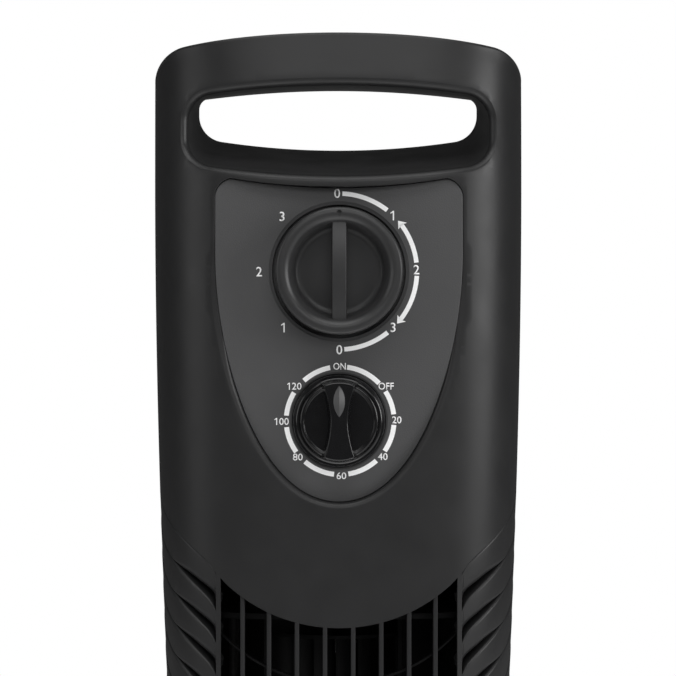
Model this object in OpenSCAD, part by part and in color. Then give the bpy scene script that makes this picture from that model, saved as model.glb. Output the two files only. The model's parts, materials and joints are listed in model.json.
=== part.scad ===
// Tower fan: an oscillating column on a round base, with a carrying handle, a speed and sweep
// dial, a timer, a cross-flow blower and a geared sweep drive.
// Millimetres, +Z up, the front faces -Y, the origin is the centre of the base on the floor.

/* [Column] */
// Height of the whole fan
fan_h = 736.6; // [730:0.1:742]
// Half width of the column at the controls
half_w_top = 85.2; // [84:0.1:88]
// Half width of the column at its foot
half_w_foot = 66.5; // [66:0.5:72]
// Depth from the axis to the front face
front_depth = 66; // [65:0.5:68]
// Depth from the axis to the rear face
rear_depth = 62; // [60:0.5:66]
// Depth of the rear half at the very top
rear_depth_top = 9; // [8:0.5:12]
// Height of the column's lower edge above the floor
column_z = 36; // [35:0.5:38]
// Wall thickness of the shells
wall = 2.5; // [2.2:0.1:2.8]

/* [Handle] */
// Half width of the grip opening at the parting plane
grip_half_w = 65.3; // [62:0.1:67]
// Top of the grip opening at the parting plane
grip_top_z = 716.7; // [715:0.1:718]
// Bottom of the grip opening at the parting plane
grip_sill_z = 688.3; // [686:0.1:690]

/* [Controls] */
// Front face of the control panel
panel_y = -61; // [-62:0.1:-60]
// Height of the speed dial's axis
speed_z = 629.6; // [628:0.1:631]
// Height of the timer dial's axis
timer_z = 563.2; // [561:0.1:565]
// Radius of the speed knob
speed_r = 28.1; // [26:0.1:28.5]
// Radius of the timer knob
timer_r = 20.5; // [19:0.1:20.7]

/* [Grille] */
// Half width of the front outlet
outlet_half_w = 52.8; // [50:0.1:53]
// Lowest point of the apron above the outlet
apron_z = 471.6; // [468:0.1:475]
// Highest point of the lower apron
lower_apron_z = 118; // [114:0.1:122]
// Radius of both apron edges
apron_r = 75; // [72:0.5:80]
// Spacing of the side louvres
louvre_pitch = 14.4; // [14:0.1:15]
// Number of louvres on each side
louvre_count = 25; // [20:1:26]

/* [Base] */
// Radius of the base
base_r = 120; // [112:1:130]
// Height of the base's neck
neck_z = 34; // [33.5:0.1:34]
// Radius of the neck
neck_r = 52; // [48:0.5:56]

/* [Blower] */
// Outer radius of the blower wheel
blower_r = 40; // [38:0.5:42]
// Lower end of the blower wheel
blower_z = 158; // [156:1:160]
// Length of the blower wheel
blower_len = 306; // [290:1:308]
// Number of blades
blade_count = 24; // [18:1:30]

/* [Sweep drive] */
// Gear module
gear_module = 1.3; // [1.2:0.05:1.3]
// Teeth of the full fixed gear circle
gear_teeth = 45; // [42:1:46]
// Teeth of the drive pinion
pinion_teeth = 12; // [12:1:13]
// Play between the teeth
backlash = 0.3; // [0.2:0.05:0.4]

/* [Hidden] */

shell_black = [0.035, 0.035, 0.037];
panel_grey = [0.06, 0.06, 0.062];
gloss_black = [0.01, 0.01, 0.011];
steel = [0.62, 0.63, 0.65];
zinc = [0.75, 0.75, 0.72];
brass = [0.78, 0.62, 0.32];
copper = [0.72, 0.40, 0.20];
natural = [0.86, 0.85, 0.80];

gap = 0.15;                 // play between a moulding and the window that it sits in
taper_z = 670;              // the column narrows below this height
lean_z = 668;               // the front leans back above this height
lean = 8;                   // by this much at the top
rear_slope_h = 176;         // height over which the rear face slopes in to the handle
section_power = 3.4;        // squareness of the column's section
section_steps = 20;         // facets of each half section
crown_r = 460;              // radius of the arched top edge
shoulder_r = 19;            // radius of the shoulders
front_far = -90;            // beyond the front face
panel_t = 2.5;              // thickness of the control panel
panel_back = panel_y + panel_t;
seat_t = 2.2;               // thickness of the panel's seat in the front shell
seat_w = 8;                 // width of that seat
well_rim_r = 33;            // outside of the speed knob's well behind the panel
timer_rim_r = 23.4;         // and of the timer knob's
stud_places = [[50, 652], [-50, 652], [39.5, 575], [-39.5, 575], [0, 532]];
panel_half_w = 55.2;        // widest half width of the control panel
panel_mid_z = 636.9;        // height where the panel is widest
panel_tail = 109.9;         // length of the panel below its widest place
panel_top_z = 666.9;        // middle of the panel's hollow top edge
strip_w = 2;                // upright strip between the outlet and the louvres
louvre_x = outlet_half_w + strip_w;
louvre_back_y = -12;        // the louvre panels end here on the sides
louvre_low_z = 92;          // lower edge of the louvre panels
ridge_z = 479.4;            // inner end of the topmost louvre's edge
post_r = 18;                // pivot post
post_bore = 13;
post_top = 54;
run_fit = 0.05;             // radial clearance of a running fit
gear_r = gear_module * gear_teeth / 2;
pinion_r = gear_module * pinion_teeth / 2;
drive_x = gear_r + pinion_r;
drive_z = column_z + 24;     // underside of the sweep motor
blower_y = 6;               // the blower's axis behind the column's axis
motor_z = 96;               // underside of the motor
motor_r = 36;
motor_screw_r = 40;         // the motor's long screws stand this far from its axis
cord_z = 70;                // height of the mains lead's bush
cord_r = 6;
loom_x = -50.0;              // the loom runs up the left side here
loom_y = 22;
loom_r = 2.2;
block_z = 62;               // underside of the terminal block
screw_r = 1.6;
head_r = 3.2;
head_t = 2.2;
screw_hole = 1.65;          // drilled for the thread
screw_free = 1.8;           // drilled to pass the shank
small = 0.01;

// ---------------------------------------------------------------- column section and helpers

function smooth(t) = let (c = max(0, min(1, t))) c * c * (3 - 2 * c);
function half_w(z) = half_w_top - (half_w_top - half_w_foot) * smooth((taper_z - z) / (taper_z - column_z));
function front_d(z) = front_depth - lean * pow(max(0, z - lean_z) / (fan_h - lean_z), 2);
function rear_d(z) = rear_depth_top + (rear_depth - rear_depth_top) * smooth((fan_h - z) / rear_slope_h);
function arc(c, r, a0, a1, n) = [for (i = [0:n]) let (a = a0 + (a1 - a0) * i / n) c + r * [cos(a), sin(a)]];
function mirrored(points) = [for (i = [len(points) - 1:-1:0]) [-points[i][0], points[i][1]]];

// One half of the column's section, from +X round to -X. With over above 0 it runs past the middle.
function half_section(w, d, z, over) =
    concat([for (i = [0:section_steps])
                let (t = 180 * i / section_steps, c = cos(t), s = abs(sin(t)))
                [w * sign(c) * pow(abs(c), 2 / section_power),
                 i % section_steps == 0 ? 0 : d * pow(s, 2 / section_power), z]],
           over > 0 ? [[-w, -over, z], [w, -over, z]] : []);

module loft(rings) {
    n = len(rings[0]);
    m = len(rings);
    sides = [for (k = [0:m - 2]) for (i = [0:n - 1]) let (j = (i + 1) % n)
                 each [[k * n + i, (k + 1) * n + i, (k + 1) * n + j],
                       [k * n + i, (k + 1) * n + j, k * n + j]]];
    floor_face = [[for (i = [0:n - 1]) i]];
    top_face = [[for (i = [n - 1:-1:0]) (m - 1) * n + i]];
    polyhedron([for (r = rings) each r], concat(sides, floor_face, top_face));
}

station_z = [for (i = [0:7]) column_z + i * 68.5, 540, 580, 620, 660, 685, 710, fan_h + 2];

// The solid of the column's front or rear half, set in by inset all round.
module half_body(front, inset, over = 0) {
    rings = [for (z = station_z)
                 half_section(half_w(z) - inset, (front ? front_d(z) : rear_d(z)) - inset,
                              z - (inset > 0 && z == column_z ? 1 : 0), over)];
    mirror([0, front ? 1 : 0, 0]) loft(rings);
}

// The wall between two insets of one half.
module half_skin(front, from, to) {
    difference() {
        half_body(front, from);
        half_body(front, to, 1);
    }
}

module along_y(y0, y1) {
    rotate([90, 0, 0]) translate([0, 0, -y1]) linear_extrude(y1 - y0) children();
}

// A cylinder along Y from y0 to y1.
module rod_y(x, z, r, y0, y1, fn = 48) {
    translate([x, y1, z]) rotate([90, 0, 0]) cylinder(r = r, h = y1 - y0, $fn = fn);
}

module rod_z(x, y, r, z0, z1, fn = 48) {
    translate([x, y, z0]) cylinder(r = r, h = z1 - z0, $fn = fn);
}

// Front view outline of the column's arched top and its shoulders.
module crown_outline(inset) {
    x = half_w_top + 0.5 - shoulder_r;
    low = fan_h - crown_r;
    turn = acos(x / (crown_r - shoulder_r));
    centre = [x, low + sin(turn) * (crown_r - shoulder_r)];
    right = arc(centre, shoulder_r - inset, 0, turn, 8);
    top = arc([0, low], crown_r - inset, turn, 180 - turn, 12);
    edge = x + shoulder_r - inset;
    polygon(concat([[edge, 0]], right, top, mirrored(right), [[-edge, 0]]));
}

// Front view outline of the grip opening.
module grip_outline(half, sill, top) {
    corner = 9;
    offset(r = corner, $fn = 40) offset(delta = -corner)
        intersection() {
            translate([0, top - 465]) circle(r = 465, $fn = 240);
            translate([0, sill + 370]) circle(r = 370, $fn = 240);
            translate([-half, sill - 20]) square([2 * half, 80]);
        }
}

// The tunnel of the grip: its sill falls towards the front, and it opens a little to the rear.
module grip_tunnel(front, grow) {
    far = front ? front_far : 40;
    hull() {
        along_y(-small, small)
            grip_outline(grip_half_w + grow, grip_sill_z - grow, grip_top_z + grow);
        along_y(far - small, far + small)
            grip_outline(grip_half_w + grow + (front ? 6 : 2), grip_sill_z - grow - (front ? 24.8 : 2.6),
                         grip_top_z + grow - (front ? 3.7 : -0.8));
    }
}

// Front view outline of the control panel: square shoulders above a long pointed oval.
module panel_outline(grow) {
    tail = [for (i = [0:14]) let (t = sin(90 * i / 14))
                [panel_half_w * pow(1 - pow(t, 1.83), 1 / 2.1), panel_mid_z - panel_tail * t]];
    top = [for (i = [0:6]) let (x = 54.2 * i / 6) [x, panel_top_z + x * x / 568]];
    right = concat(top, [for (p = tail) p]);
    offset(r = 9 + grow, $fn = 48) offset(delta = -9)
        polygon(concat(right, [for (i = [len(right) - 2:-1:1]) [-right[i][0], right[i][1]]]));
}

// Front view outline of the outlet, between the two curved aprons.
module outlet_outline(grow) {
    offset(delta = grow)
        difference() {
            translate([-outlet_half_w, lower_apron_z - 40])
                square([2 * outlet_half_w, apron_z - lower_apron_z + 80]);
            translate([0, apron_z + apron_r]) circle(r = apron_r, $fn = 120);
            translate([-100, apron_z + apron_r * 0.4]) square([200, 200]);
            translate([0, lower_apron_z - apron_r]) circle(r = apron_r, $fn = 120);
            translate([-100, lower_apron_z - apron_r * 0.4 - 200]) square([200, 200]);
        }
}

// Height of a louvre edge above its inner end, at x.
function louvre_rise(x) = let (d = x - louvre_x) d + 2.6 * pow(max(0, d - 18) / 6, 2);

// Front view region of the right louvre panel.
module louvre_outline(grow) {
    xs = [for (i = [0:8]) louvre_x + 3.2 * i];
    edge = [for (x = xs) [x, ridge_z + louvre_pitch + louvre_rise(x)]];
    offset(delta = grow)
        polygon(concat([[louvre_x, louvre_low_z]], edge,
                       [[100, edge[8][1]], [100, louvre_low_z]]));
}

module pan_screw(length) {
    cylinder(r = screw_r, h = length + 1, $fn = 24);
    translate([0, 0, length]) cylinder(r = head_r, h = head_t, $fn = 32);
}

// Turns a screw that points its head along +Z so that its head faces +Y or -Y.
module head_to_rear() { rotate([-90, 0, 0]) children(); }
module head_to_front() { rotate([90, 0, 0]) children(); }

// ---------------------------------------------------------------- gears

function involute(base, angle) =
    base * [cos(angle) + angle * PI / 180 * sin(angle), sin(angle) - angle * PI / 180 * cos(angle)];
function turned(p, a) = [p[0] * cos(a) - p[1] * sin(a), p[0] * sin(a) + p[1] * cos(a)];

// One tooth of a 20 degree involute gear, centred on +X, thinned by half the backlash.
function tooth(teeth, outer, root) =
    let (pitch = gear_module * teeth / 2, base = pitch * cos(20),
         at_pitch = sqrt(pow(pitch / base, 2) - 1) * 180 / PI,
         lean_in = at_pitch - atan(at_pitch * PI / 180),
         half = 90 / teeth - backlash / 4 / pitch * 180 / PI + lean_in,
         last = sqrt(pow(outer / base, 2) - 1) * 180 / PI,
         flank = [for (i = [0:5]) turned(involute(base, last * i / 5), -half)],
         foot = turned([root - 0.3, 0], -half))
    concat([foot], flank, [for (i = [5:-1:0]) [flank[i][0], -flank[i][1]]], [[foot[0], -foot[1]]]);

module gear_2d(teeth, first, count) {
    pitch = gear_module * teeth / 2;
    root = pitch - 1.25 * gear_module;
    circle(r = root, $fn = 90);
    for (i = [0:count - 1])
        rotate((first + i) * 360 / teeth) polygon(tooth(teeth, pitch + 0.9 * gear_module, root));
}

// ---------------------------------------------------------------- base

cover_profile = concat([[base_r, 3], [base_r, 7]],
                       [for (i = [1:8]) let (a = 90 * i / 8) [base_r - 6 + 6 * cos(a), 7 + 5 * sin(a)]],
                       [[96, 15.5], [76, 20.5], [62, 25.5], [55, 30.5], [neck_r, neck_z]]);

foot_places = [for (a = [90:72:378]) 100 * [cos(a), sin(a)]];
base_boss_places = [for (a = [54:72:342]) 84 * [cos(a), sin(a)]];
post_screw_places = [for (a = [45:90:315]) 25 * [cos(a), sin(a)]];

module base_cover() {
    thick = 2.6;
    inner = [for (i = [len(cover_profile) - 1:-1:0])
                 [cover_profile[i][0] - (i < 6 ? thick : thick * 0.6),
                  max(3, cover_profile[i][1] - (i < 3 ? 0 : thick))]];
    color(shell_black)
        difference() {
            union() {
                rotate_extrude($fn = 120)
                    polygon(concat(cover_profile, [[30, neck_z], [30, neck_z - thick]],
                                   [for (p = inner) if (p[1] > 3) p],
                                   [[base_r - thick, 3]]));
                for (p = base_boss_places)
                    rod_z(p[0], p[1], 5, 5.6, 16.5);
            }
            for (p = base_boss_places)
                rod_z(p[0], p[1], screw_hole, 5, 14);
        }
}

module base_plate() {
    color(shell_black)
        difference() {
            union() {
                rod_z(0, 0, base_r - 2.8, 3, 5.5, 120);
                for (r = [40, 72])
                    difference() {
                        rod_z(0, 0, r + 1, 5, 10, 90);
                        rod_z(0, 0, r - 1, 4, 11, 90);
                    }
                rod_z(0, 0, 32, 5, 8, 72);
            }
            for (p = foot_places)
                rod_z(p[0], p[1], 8.1, 2, 4.5);
            for (p = base_boss_places) {
                rod_z(p[0], p[1], 1.8, 2, 12);
                rod_z(p[0], p[1], 3.6, 2, 4.6);
            }
            for (p = post_screw_places)
                rod_z(p[0], p[1], 1.8, 2, 12);
            for (p = post_screw_places)
                rod_z(p[0], p[1], 3.6, 2, 5.4);
            rod_z(0, 0, post_bore, 7, 9);
        }
}

module base_screws() {
    color(zinc)
        for (p = base_boss_places)
            translate([p[0], p[1], 13.4]) mirror([0, 0, 1]) pan_screw(8.8);
}

module rubber_feet() {
    color(gloss_black)
        for (p = foot_places)
            rod_z(p[0], p[1], 8, 0, 4.5);
}

module pivot_post() {
    color(shell_black)
        difference() {
            union() {
                rod_z(0, 0, 31, 8, 12, 72);
                rod_z(0, 0, post_r, 8, post_top, 72);
            }
            rod_z(0, 0, post_bore, 7, post_top + 1, 72);
            for (p = post_screw_places)
                rod_z(p[0], p[1], 1.65, 7, 13);
            translate([-4, -40, 12.5]) cube([8, 80, 10]);
            for (a = [30:120:270])
                rotate(a) rod_z(15.5, 0, 1.1, post_top - 12, post_top + 1, 24);
        }
}

module pivot_post_screws() {
    color(zinc)
        for (p = post_screw_places)
            translate([p[0], p[1], 11.6]) mirror([0, 0, 1]) pan_screw(6.2);
}

// The strain relief bush low in the rear shell that the mains lead comes out of.
module cord_grommet() {
    y = rear_depth;
    color(gloss_black)
        difference() {
            union() {
                rod_y(0, cord_z, cord_r, y - 8, y + 4);
                rod_y(0, cord_z, cord_r + 2, y + 0.1, y + 2.6);
                rod_y(0, cord_z, cord_r + 1.4, y - 8, y - wall - 0.4);
            }
            rod_y(0, cord_z, 3.7, y - 9, y + 5);
        }
}

module thrust_washer() {
    color(natural)
        difference() {
            rod_z(0, 0, 46, neck_z, column_z - 0.2, 90);
            rod_z(0, 0, 32, neck_z - 1, column_z + 1, 90);
        }
}

// ---------------------------------------------------------------- sweep drive

module fixed_gear() {
    z0 = column_z + 6.3;
    color(natural)
        difference() {
            union() {
                translate([0, 0, z0]) linear_extrude(5)
                    intersection() {
                        gear_2d(gear_teeth, -8, 17);
                        union() {
                            polygon([[0, 0], [60, -75], [60, 75]]);
                            circle(r = 25, $fn = 90);
                        }
                    }
                rod_z(0, 0, 24, z0, post_top + 1.5, 72);
            }
            rod_z(0, 0, post_r, z0 - 1, post_top, 72);
            rod_z(0, 0, post_bore, z0 - 1, post_top + 3, 72);
            for (a = [30:120:270])
                rotate(a) rod_z(15.5, 0, 1.3, post_top - 1, post_top + 3, 24);
        }
}

module fixed_gear_screws() {
    color(zinc)
        for (a = [30:120:270])
            rotate(a) translate([15.5, 0, post_top - 9]) {
                cylinder(r = 1.05, h = 11, $fn = 20);
                translate([0, 0, 10.5]) cylinder(r = 2.3, h = 1.6, $fn = 24);
            }
}

module sweep_motor() {
    color(zinc)
        difference() {
            union() {
                rod_z(drive_x, 0, 7, drive_z - 1.5, drive_z, 40);
                translate([4, 0, 0]) rod_z(drive_x, 0, 21, drive_z, drive_z + 17, 72);
                translate([drive_x - 1, -31, drive_z]) cube([9, 62, 1.2]);
                translate([drive_x + 12, -8, drive_z + 3]) cube([11, 16, 11]);
            }
            rod_z(drive_x, 0, 3.1, drive_z - 2, drive_z + 6, 32);
            for (y = [-1, 1])
                rod_z(drive_x + 3.5, y * 26.5, 1.7, drive_z - 1, drive_z + 2, 24);
        }
}

module sweep_motor_screws() {
    color(zinc)
        for (y = [-1, 1])
            translate([drive_x + 3.5, y * 26.5, drive_z - 10]) pan_screw(11.25);
}

module sweep_pinion() {
    color(natural)
        union() {
            translate([drive_x, 0, column_z + 6]) linear_extrude(6)
                rotate(180 + 180 / pinion_teeth) gear_2d(pinion_teeth, 0, pinion_teeth);
            rod_z(drive_x, 0, 3, column_z + 11, drive_z + 5.5, 32);
            rod_z(drive_x, 0, 5.2, column_z + 12, drive_z - 3, 32);
        }
}

// ---------------------------------------------------------------- column structure

foot_screw_x = 50;
foot_screw_y = 46;
foot_boss_top = column_z + 18;
foot_screw_places = [for (x = [-1, 1]) for (y = [-1, 1]) [x * foot_screw_x, y * foot_screw_y]];

// The blocks inside one shell that the column's foot is screwed to.
module foot_bosses(front) {
    side = front ? -1 : 1;
    intersection() {
        half_body(front, small);
        for (s = [-1, 1])
            translate([s * foot_screw_x - 4.5, side > 0 ? foot_screw_y - 4.5 : -90, column_z + 4.1])
                cube([9, 90 - foot_screw_y + 4.5, foot_boss_top - column_z - 4.1]);
    }
}

module column_foot() {
    color(shell_black)
        difference() {
            union() {
                intersection() {
                    union() {
                        half_body(true, wall + 0.2);
                        half_body(false, wall + 0.2);
                    }
                    translate([-100, -100, column_z]) cube([200, 200, 4]);
                }
                rod_z(0, 0, 21.5, column_z, column_z + 6, 72);
                for (y = [-1, 1])
                    rod_z(drive_x + 3.5, y * 26.5, 4.5, column_z + 3, drive_z, 32);
            }
            rod_z(0, 0, post_r + run_fit, column_z - 1, column_z + 10, 72);
            for (y = [-1, 1])
                rod_z(drive_x + 3.5, y * 26.5, screw_hole, drive_z - 11, drive_z + 1, 24);
            for (p = foot_screw_places)
                rod_z(p[0], p[1], screw_free, column_z - 1, column_z + 12, 24);
        }
}

module column_foot_screws() {
    color(zinc)
        for (p = foot_screw_places)
            translate([p[0], p[1], column_z + 15]) mirror([0, 0, 1]) pan_screw(15);
}

shell_screw_z = [112, 250, 430, 590];

module front_boss(z) {
    for (s = [-1, 1]) {
        x = s * (half_w(z) - 9.5);
        intersection() {
            half_body(true, small);
            union() {
                rod_y(x, z, 4.2, louvre_back_y, 0, 32);
                translate([s > 0 ? x : x - 9, louvre_back_y, z - 1]) cube([9, -louvre_back_y, 2]);
            }
        }
    }
}

module front_shell() {
    color(shell_black)
        difference() {
            union() {
                difference() {
                    intersection() {
                        half_body(true, 0);
                        along_y(front_far, 1) crown_outline(0);
                    }
                    intersection() {
                        half_body(true, wall, 1);
                        along_y(front_far, 5) crown_outline(wall);
                    }
                }
                intersection() {
                    half_body(true, 0);
                    along_y(front_far, 1) crown_outline(0);
                    grip_tunnel(true, wall);
                }
                intersection() {
                    half_body(true, small);
                    along_y(front_far, panel_back + seat_t) panel_outline(wall);
                }
                for (z = shell_screw_z)
                    front_boss(z);
                foot_bosses(true);
            }
            grip_tunnel(true, 0);
            along_y(front_far, panel_back + 0.1) panel_outline(gap);
            along_y(front_far, panel_y + 40) panel_outline(-seat_w);
            rod_y(0, speed_z, well_rim_r + 0.3, panel_y, -40, 90);
            rod_y(0, timer_z, timer_rim_r + 0.3, panel_y, -40, 90);
            for (p = stud_places)
                rod_y(p[0], p[1], 1.7, panel_y, -40, 24);
            for (s = [-1, 1])
                rod_z(s * foot_screw_x, -foot_screw_y, screw_hole, column_z, foot_boss_top - 2, 24);
            along_y(front_far, -30) outlet_outline(0);
            for (m = [0, 1])
                mirror([m, 0, 0]) along_y(front_far, louvre_back_y) louvre_outline(0);
            for (z = shell_screw_z)
                for (s = [-1, 1])
                    rod_y(s * (half_w(z) - 9.5), z, screw_hole, -18, 1, 24);
        }
}

module rear_screw_tubes(z) {
    for (s = [-1, 1]) {
        x = s * (half_w(z) - 9.5);
        intersection() {
            half_body(false, small);
            rod_y(x, z, 5.4, 0, 70, 32);
        }
    }
}

inlet_low = 150;
inlet_high = 500;
inlet_half = 44;

module rear_shell() {
    color(shell_black)
        difference() {
            union() {
                difference() {
                    intersection() {
                        half_body(false, 0);
                        along_y(-1, 90) crown_outline(0);
                    }
                    intersection() {
                        half_body(false, wall, 1);
                        along_y(-5, 90) crown_outline(wall);
                    }
                }
                intersection() {
                    half_body(false, 0);
                    along_y(-1, 90) crown_outline(0);
                    grip_tunnel(false, wall);
                }
                for (z = shell_screw_z)
                    rear_screw_tubes(z);
                foot_bosses(false);
            }
            grip_tunnel(false, 0);
            translate([-inlet_half, 30, inlet_low]) cube([2 * inlet_half, 60, inlet_high - inlet_low]);
            rod_y(0, cord_z, cord_r + 0.05, 40, 80);
            for (z = shell_screw_z)
                for (s = [-1, 1]) {
                    rod_y(s * (half_w(z) - 9.5), z, screw_free, -1, 9, 24);
                    rod_y(s * (half_w(z) - 9.5), z, 3.8, 6, 80, 32);
                }
            for (s = [-1, 1])
                rod_z(s * foot_screw_x, foot_screw_y, screw_hole, column_z, foot_boss_top - 2, 24);
        }
}

module shell_screws() {
    color(zinc)
        for (z = shell_screw_z)
            for (s = [-1, 1])
                translate([s * (half_w(z) - 9.5), -11, z]) head_to_rear() pan_screw(17);
}

bar_x = [6.25, 18.7, 31.1, 42.9];

module front_grille() {
    bar_w = 2;
    first_rib_z = 145;
    color(shell_black)
        union() {
            intersection() {
                half_skin(true, 0.4, 9);
                along_y(front_far, -30) outlet_outline(-gap);
                union() {
                    for (x = bar_x) for (s = [-1, 1])
                        translate([s * x - bar_w / 2, front_far, 60]) cube([bar_w, 80, 480]);
                }
            }
            intersection() {
                half_skin(true, wall + 0.1, 5);
                along_y(front_far, -30) difference() {
                    outlet_outline(3.5);
                    outlet_outline(-gap);
                }
            }
            intersection() {
                half_skin(true, 4, 9);
                along_y(front_far, -30) outlet_outline(2);
                union() {
                    for (z = [first_rib_z:60:apron_z])
                        translate([0, -30, z + apron_r]) rotate([90, 0, 0])
                            difference() {
                                cylinder(r = apron_r, h = 60, $fn = 96);
                                translate([0, 0, -1]) cylinder(r = apron_r - 1.8, h = 62, $fn = 96);
                                translate([-80, -10, -1]) cube([160, 90, 62]);
                            }
                }
            }
        }
}

module louvre_panel() {
    difference() {
        intersection() {
            half_skin(true, 0, wall);
            along_y(front_far, louvre_back_y - gap) louvre_outline(-gap);
        }
        for (i = [0:louvre_count - 1]) {
            z = ridge_z - i * louvre_pitch;
            xs = [for (k = [0:3]) louvre_x + 0.8 + 7.4 * k];
            low = [for (x = xs) [x, z + louvre_rise(x)]];
            high = [for (k = [2:-1:0]) [xs[k], z + louvre_rise(xs[k]) + [7.5, 6.5, 4][k]]];
            along_y(front_far, -20) polygon(concat(low, high));
        }
    }
}

module louvre_right() { color(shell_black) louvre_panel(); }
module louvre_left() { color(shell_black) mirror([1, 0, 0]) louvre_panel(); }

module rear_grille() {
    pitch = 8;
    rows = floor((inlet_high - inlet_low) / pitch) - 1;
    color(shell_black)
        intersection() {
            half_skin(false, 0.3, 3);
            translate([-inlet_half + gap, 30, inlet_low + gap])
                cube([2 * (inlet_half - gap), 60, inlet_high - inlet_low - 2 * gap]);
            union() {
                for (i = [0:rows])
                    translate([-60, 20, inlet_low + 6 + i * pitch]) cube([120, 70, 3]);
                for (x = [-inlet_half, -15.5, 12.5, inlet_half - 3])
                    translate([x, 20, inlet_low]) cube([3, 70, inlet_high - inlet_low]);
                for (z = [inlet_low, inlet_high - 3])
                    translate([-60, 20, z]) cube([120, 70, 3]);
            }
        }
}

// ---------------------------------------------------------------- controls

module well(z, r, floor_y) {
    rod_y(0, z, r, -80, floor_y, 90);
}

module control_panel() {
    color(panel_grey)
        difference() {
            union() {
                along_y(panel_y, panel_y + panel_t) panel_outline(0);
                rod_y(0, speed_z, well_rim_r, panel_y + 1, -54.8, 90);
                rod_y(0, timer_z, timer_rim_r, panel_y + 1, -54.8, 90);
                for (p = stud_places)
                    rod_y(p[0], p[1], 1.5, panel_y + 1, panel_back + seat_t + 2.5, 24);
            }
            well(speed_z, 31.4, -56.5);
            well(timer_z, 21.8, -56.5);
            rod_y(0, speed_z, 4.2, -60, -50, 40);
            rod_y(0, timer_z, 4.2, -60, -50, 40);
            for (z = [speed_z, timer_z])
                for (s = [-1, 1])
                    rod_y(12 * s, z, 1.7, -60, -50, 24);
        }
}

// Push nuts that hold the panel's studs from behind the front shell.
module panel_clips() {
    y = panel_back + seat_t;
    color(zinc)
        for (p = stud_places)
            difference() {
                rod_y(p[0], p[1], 3.8, y + 0.02, y + 0.8, 32);
                rod_y(p[0], p[1], 1.5, y - 1, y + 2, 24);
            }
}

module speed_switch() {
    color(natural)
        difference() {
            union() {
                translate([-17, -54.8, speed_z - 17]) cube([34, 19, 34]);
                rod_y(0, speed_z, 4.1, -58.6, -54, 40);
                for (x = [-10, -3, 4, 11])
                    translate([x - 1, -35.8, speed_z - 14]) cube([2, 9, 0.8]);
                for (x = [-10, 4])
                    translate([x - 1, -35.8, speed_z + 12]) cube([2, 9, 0.8]);
            }
            rod_y(0, speed_z, 3.08, -59, -40, 40);
            for (s = [-1, 1])
                rod_y(12 * s, speed_z, 1.65, -56, -44, 24);
        }
}

module switch_screws() {
    color(zinc)
        for (s = [-1, 1])
            translate([12 * s, -46, speed_z]) head_to_front() {
                cylinder(r = screw_r, h = 10.5, $fn = 24);
            }
}

module timer_unit() {
    color(steel)
        difference() {
            union() {
                rod_y(0, timer_z, 22, -54.8, -32, 72);
                translate([-24, -54.8, timer_z - 5]) cube([48, 1.5, 10]);
                for (x = [-18, 18])
                    translate([x - 2, -32.5, timer_z - 4]) cube([4, 8, 0.8]);
            }
            rod_y(0, timer_z, 3.08, -56, -40, 40);
            for (s = [-1, 1])
                rod_y(12 * s, timer_z, 1.65, -56, -44, 24);
        }
}

module timer_screws() {
    color(zinc)
        for (s = [-1, 1])
            translate([12 * s, -46, timer_z]) head_to_front() {
                cylinder(r = screw_r, h = 10.5, $fn = 24);
            }
}

module timer_bell() {
    color(steel)
        difference() {
            rod_y(0, timer_z, 14, -32, -24, 60);
            rod_y(0, timer_z, 12.8, -33, -25.2, 60);
            for (s = [-1, 1])
                rod_y(8 * s, timer_z, 2, -33, -20, 24);
        }
}

module knob_body(z, profile) {
    translate([0, 0, z]) rotate([90, 0, 0]) rotate_extrude($fn = 120) polygon(profile);
}

knob_back = 57.2;            // the backs of both knobs, just clear of the floors of their wells
speed_front = 76.5;
dish_depth = 9.3;            // the speed knob is a deep dish with a finger bar across it
dish_r = 22.6;
speed_bar = 6.2;

module speed_knob() {
    f = speed_front;
    b = knob_back;
    floor = f - dish_depth;
    color(shell_black)
        difference() {
            union() {
                knob_body(speed_z,
                          [[0, b + 2], [7, b + 2], [7, b], [speed_r - 1, b],
                           [speed_r, b + 1], [speed_r, f - 3.2],
                           [speed_r - 0.9, f - 1.2], [speed_r - 2.6, f - 0.2],
                           [speed_r - 4, f], [dish_r + 0.6, f - 0.7],
                           [dish_r - 0.4, f - 2.2], [dish_r - 2.4, floor + 1.4],
                           [dish_r - 3.6, floor], [0, floor]]);
                translate([-speed_bar / 2, 1 - f, speed_z - dish_r])
                    cube([speed_bar, dish_depth, 2 * dish_r]);
            }
            rod_y(0, speed_z, 3, -64.5, -50, 40);
        }
}

module speed_shaft() {
    color(steel) rod_y(0, speed_z, 3, -64.5, -41, 40);
}

timer_front = 74.5;
timer_deck = 67.2;           // the deck that the timer knob's waisted grip stands on

module timer_knob() {
    f = timer_front;
    b = knob_back;
    color(gloss_black)
        difference() {
            union() {
                knob_body(timer_z,
                          [[0, b], [timer_r - 0.6, b], [timer_r, b + 0.6],
                           [timer_r, 63], [timer_r - 1.2, 64.6], [timer_r - 2.6, 65.2],
                           [timer_r - 3.4, 66.6], [16, timer_deck], [0, timer_deck]]);
                intersection() {
                    rod_y(0, timer_z, 17.6, -f, -60, 72);
                    difference() {
                        translate([-9, -f, timer_z - 20]) cube([18, 20, 40]);
                        for (s = [-1, 1])
                            rod_y(s * 39.5, timer_z, 35, -80, -timer_deck, 120);
                    }
                }
            }
            rod_y(0, timer_z, 3, -64.5, -50, 40);
        }
}

module timer_shaft() {
    color(steel) rod_y(0, timer_z, 3, -64.5, -41, 40);
}

// ---------------------------------------------------------------- blower and motor

blower_top = blower_z + blower_len;
plate_t = 2.5;
bottom_plate_z = 146;
top_plate_z = 474;

module at_blower() { translate([0, blower_y, 0]) children(); }

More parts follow.
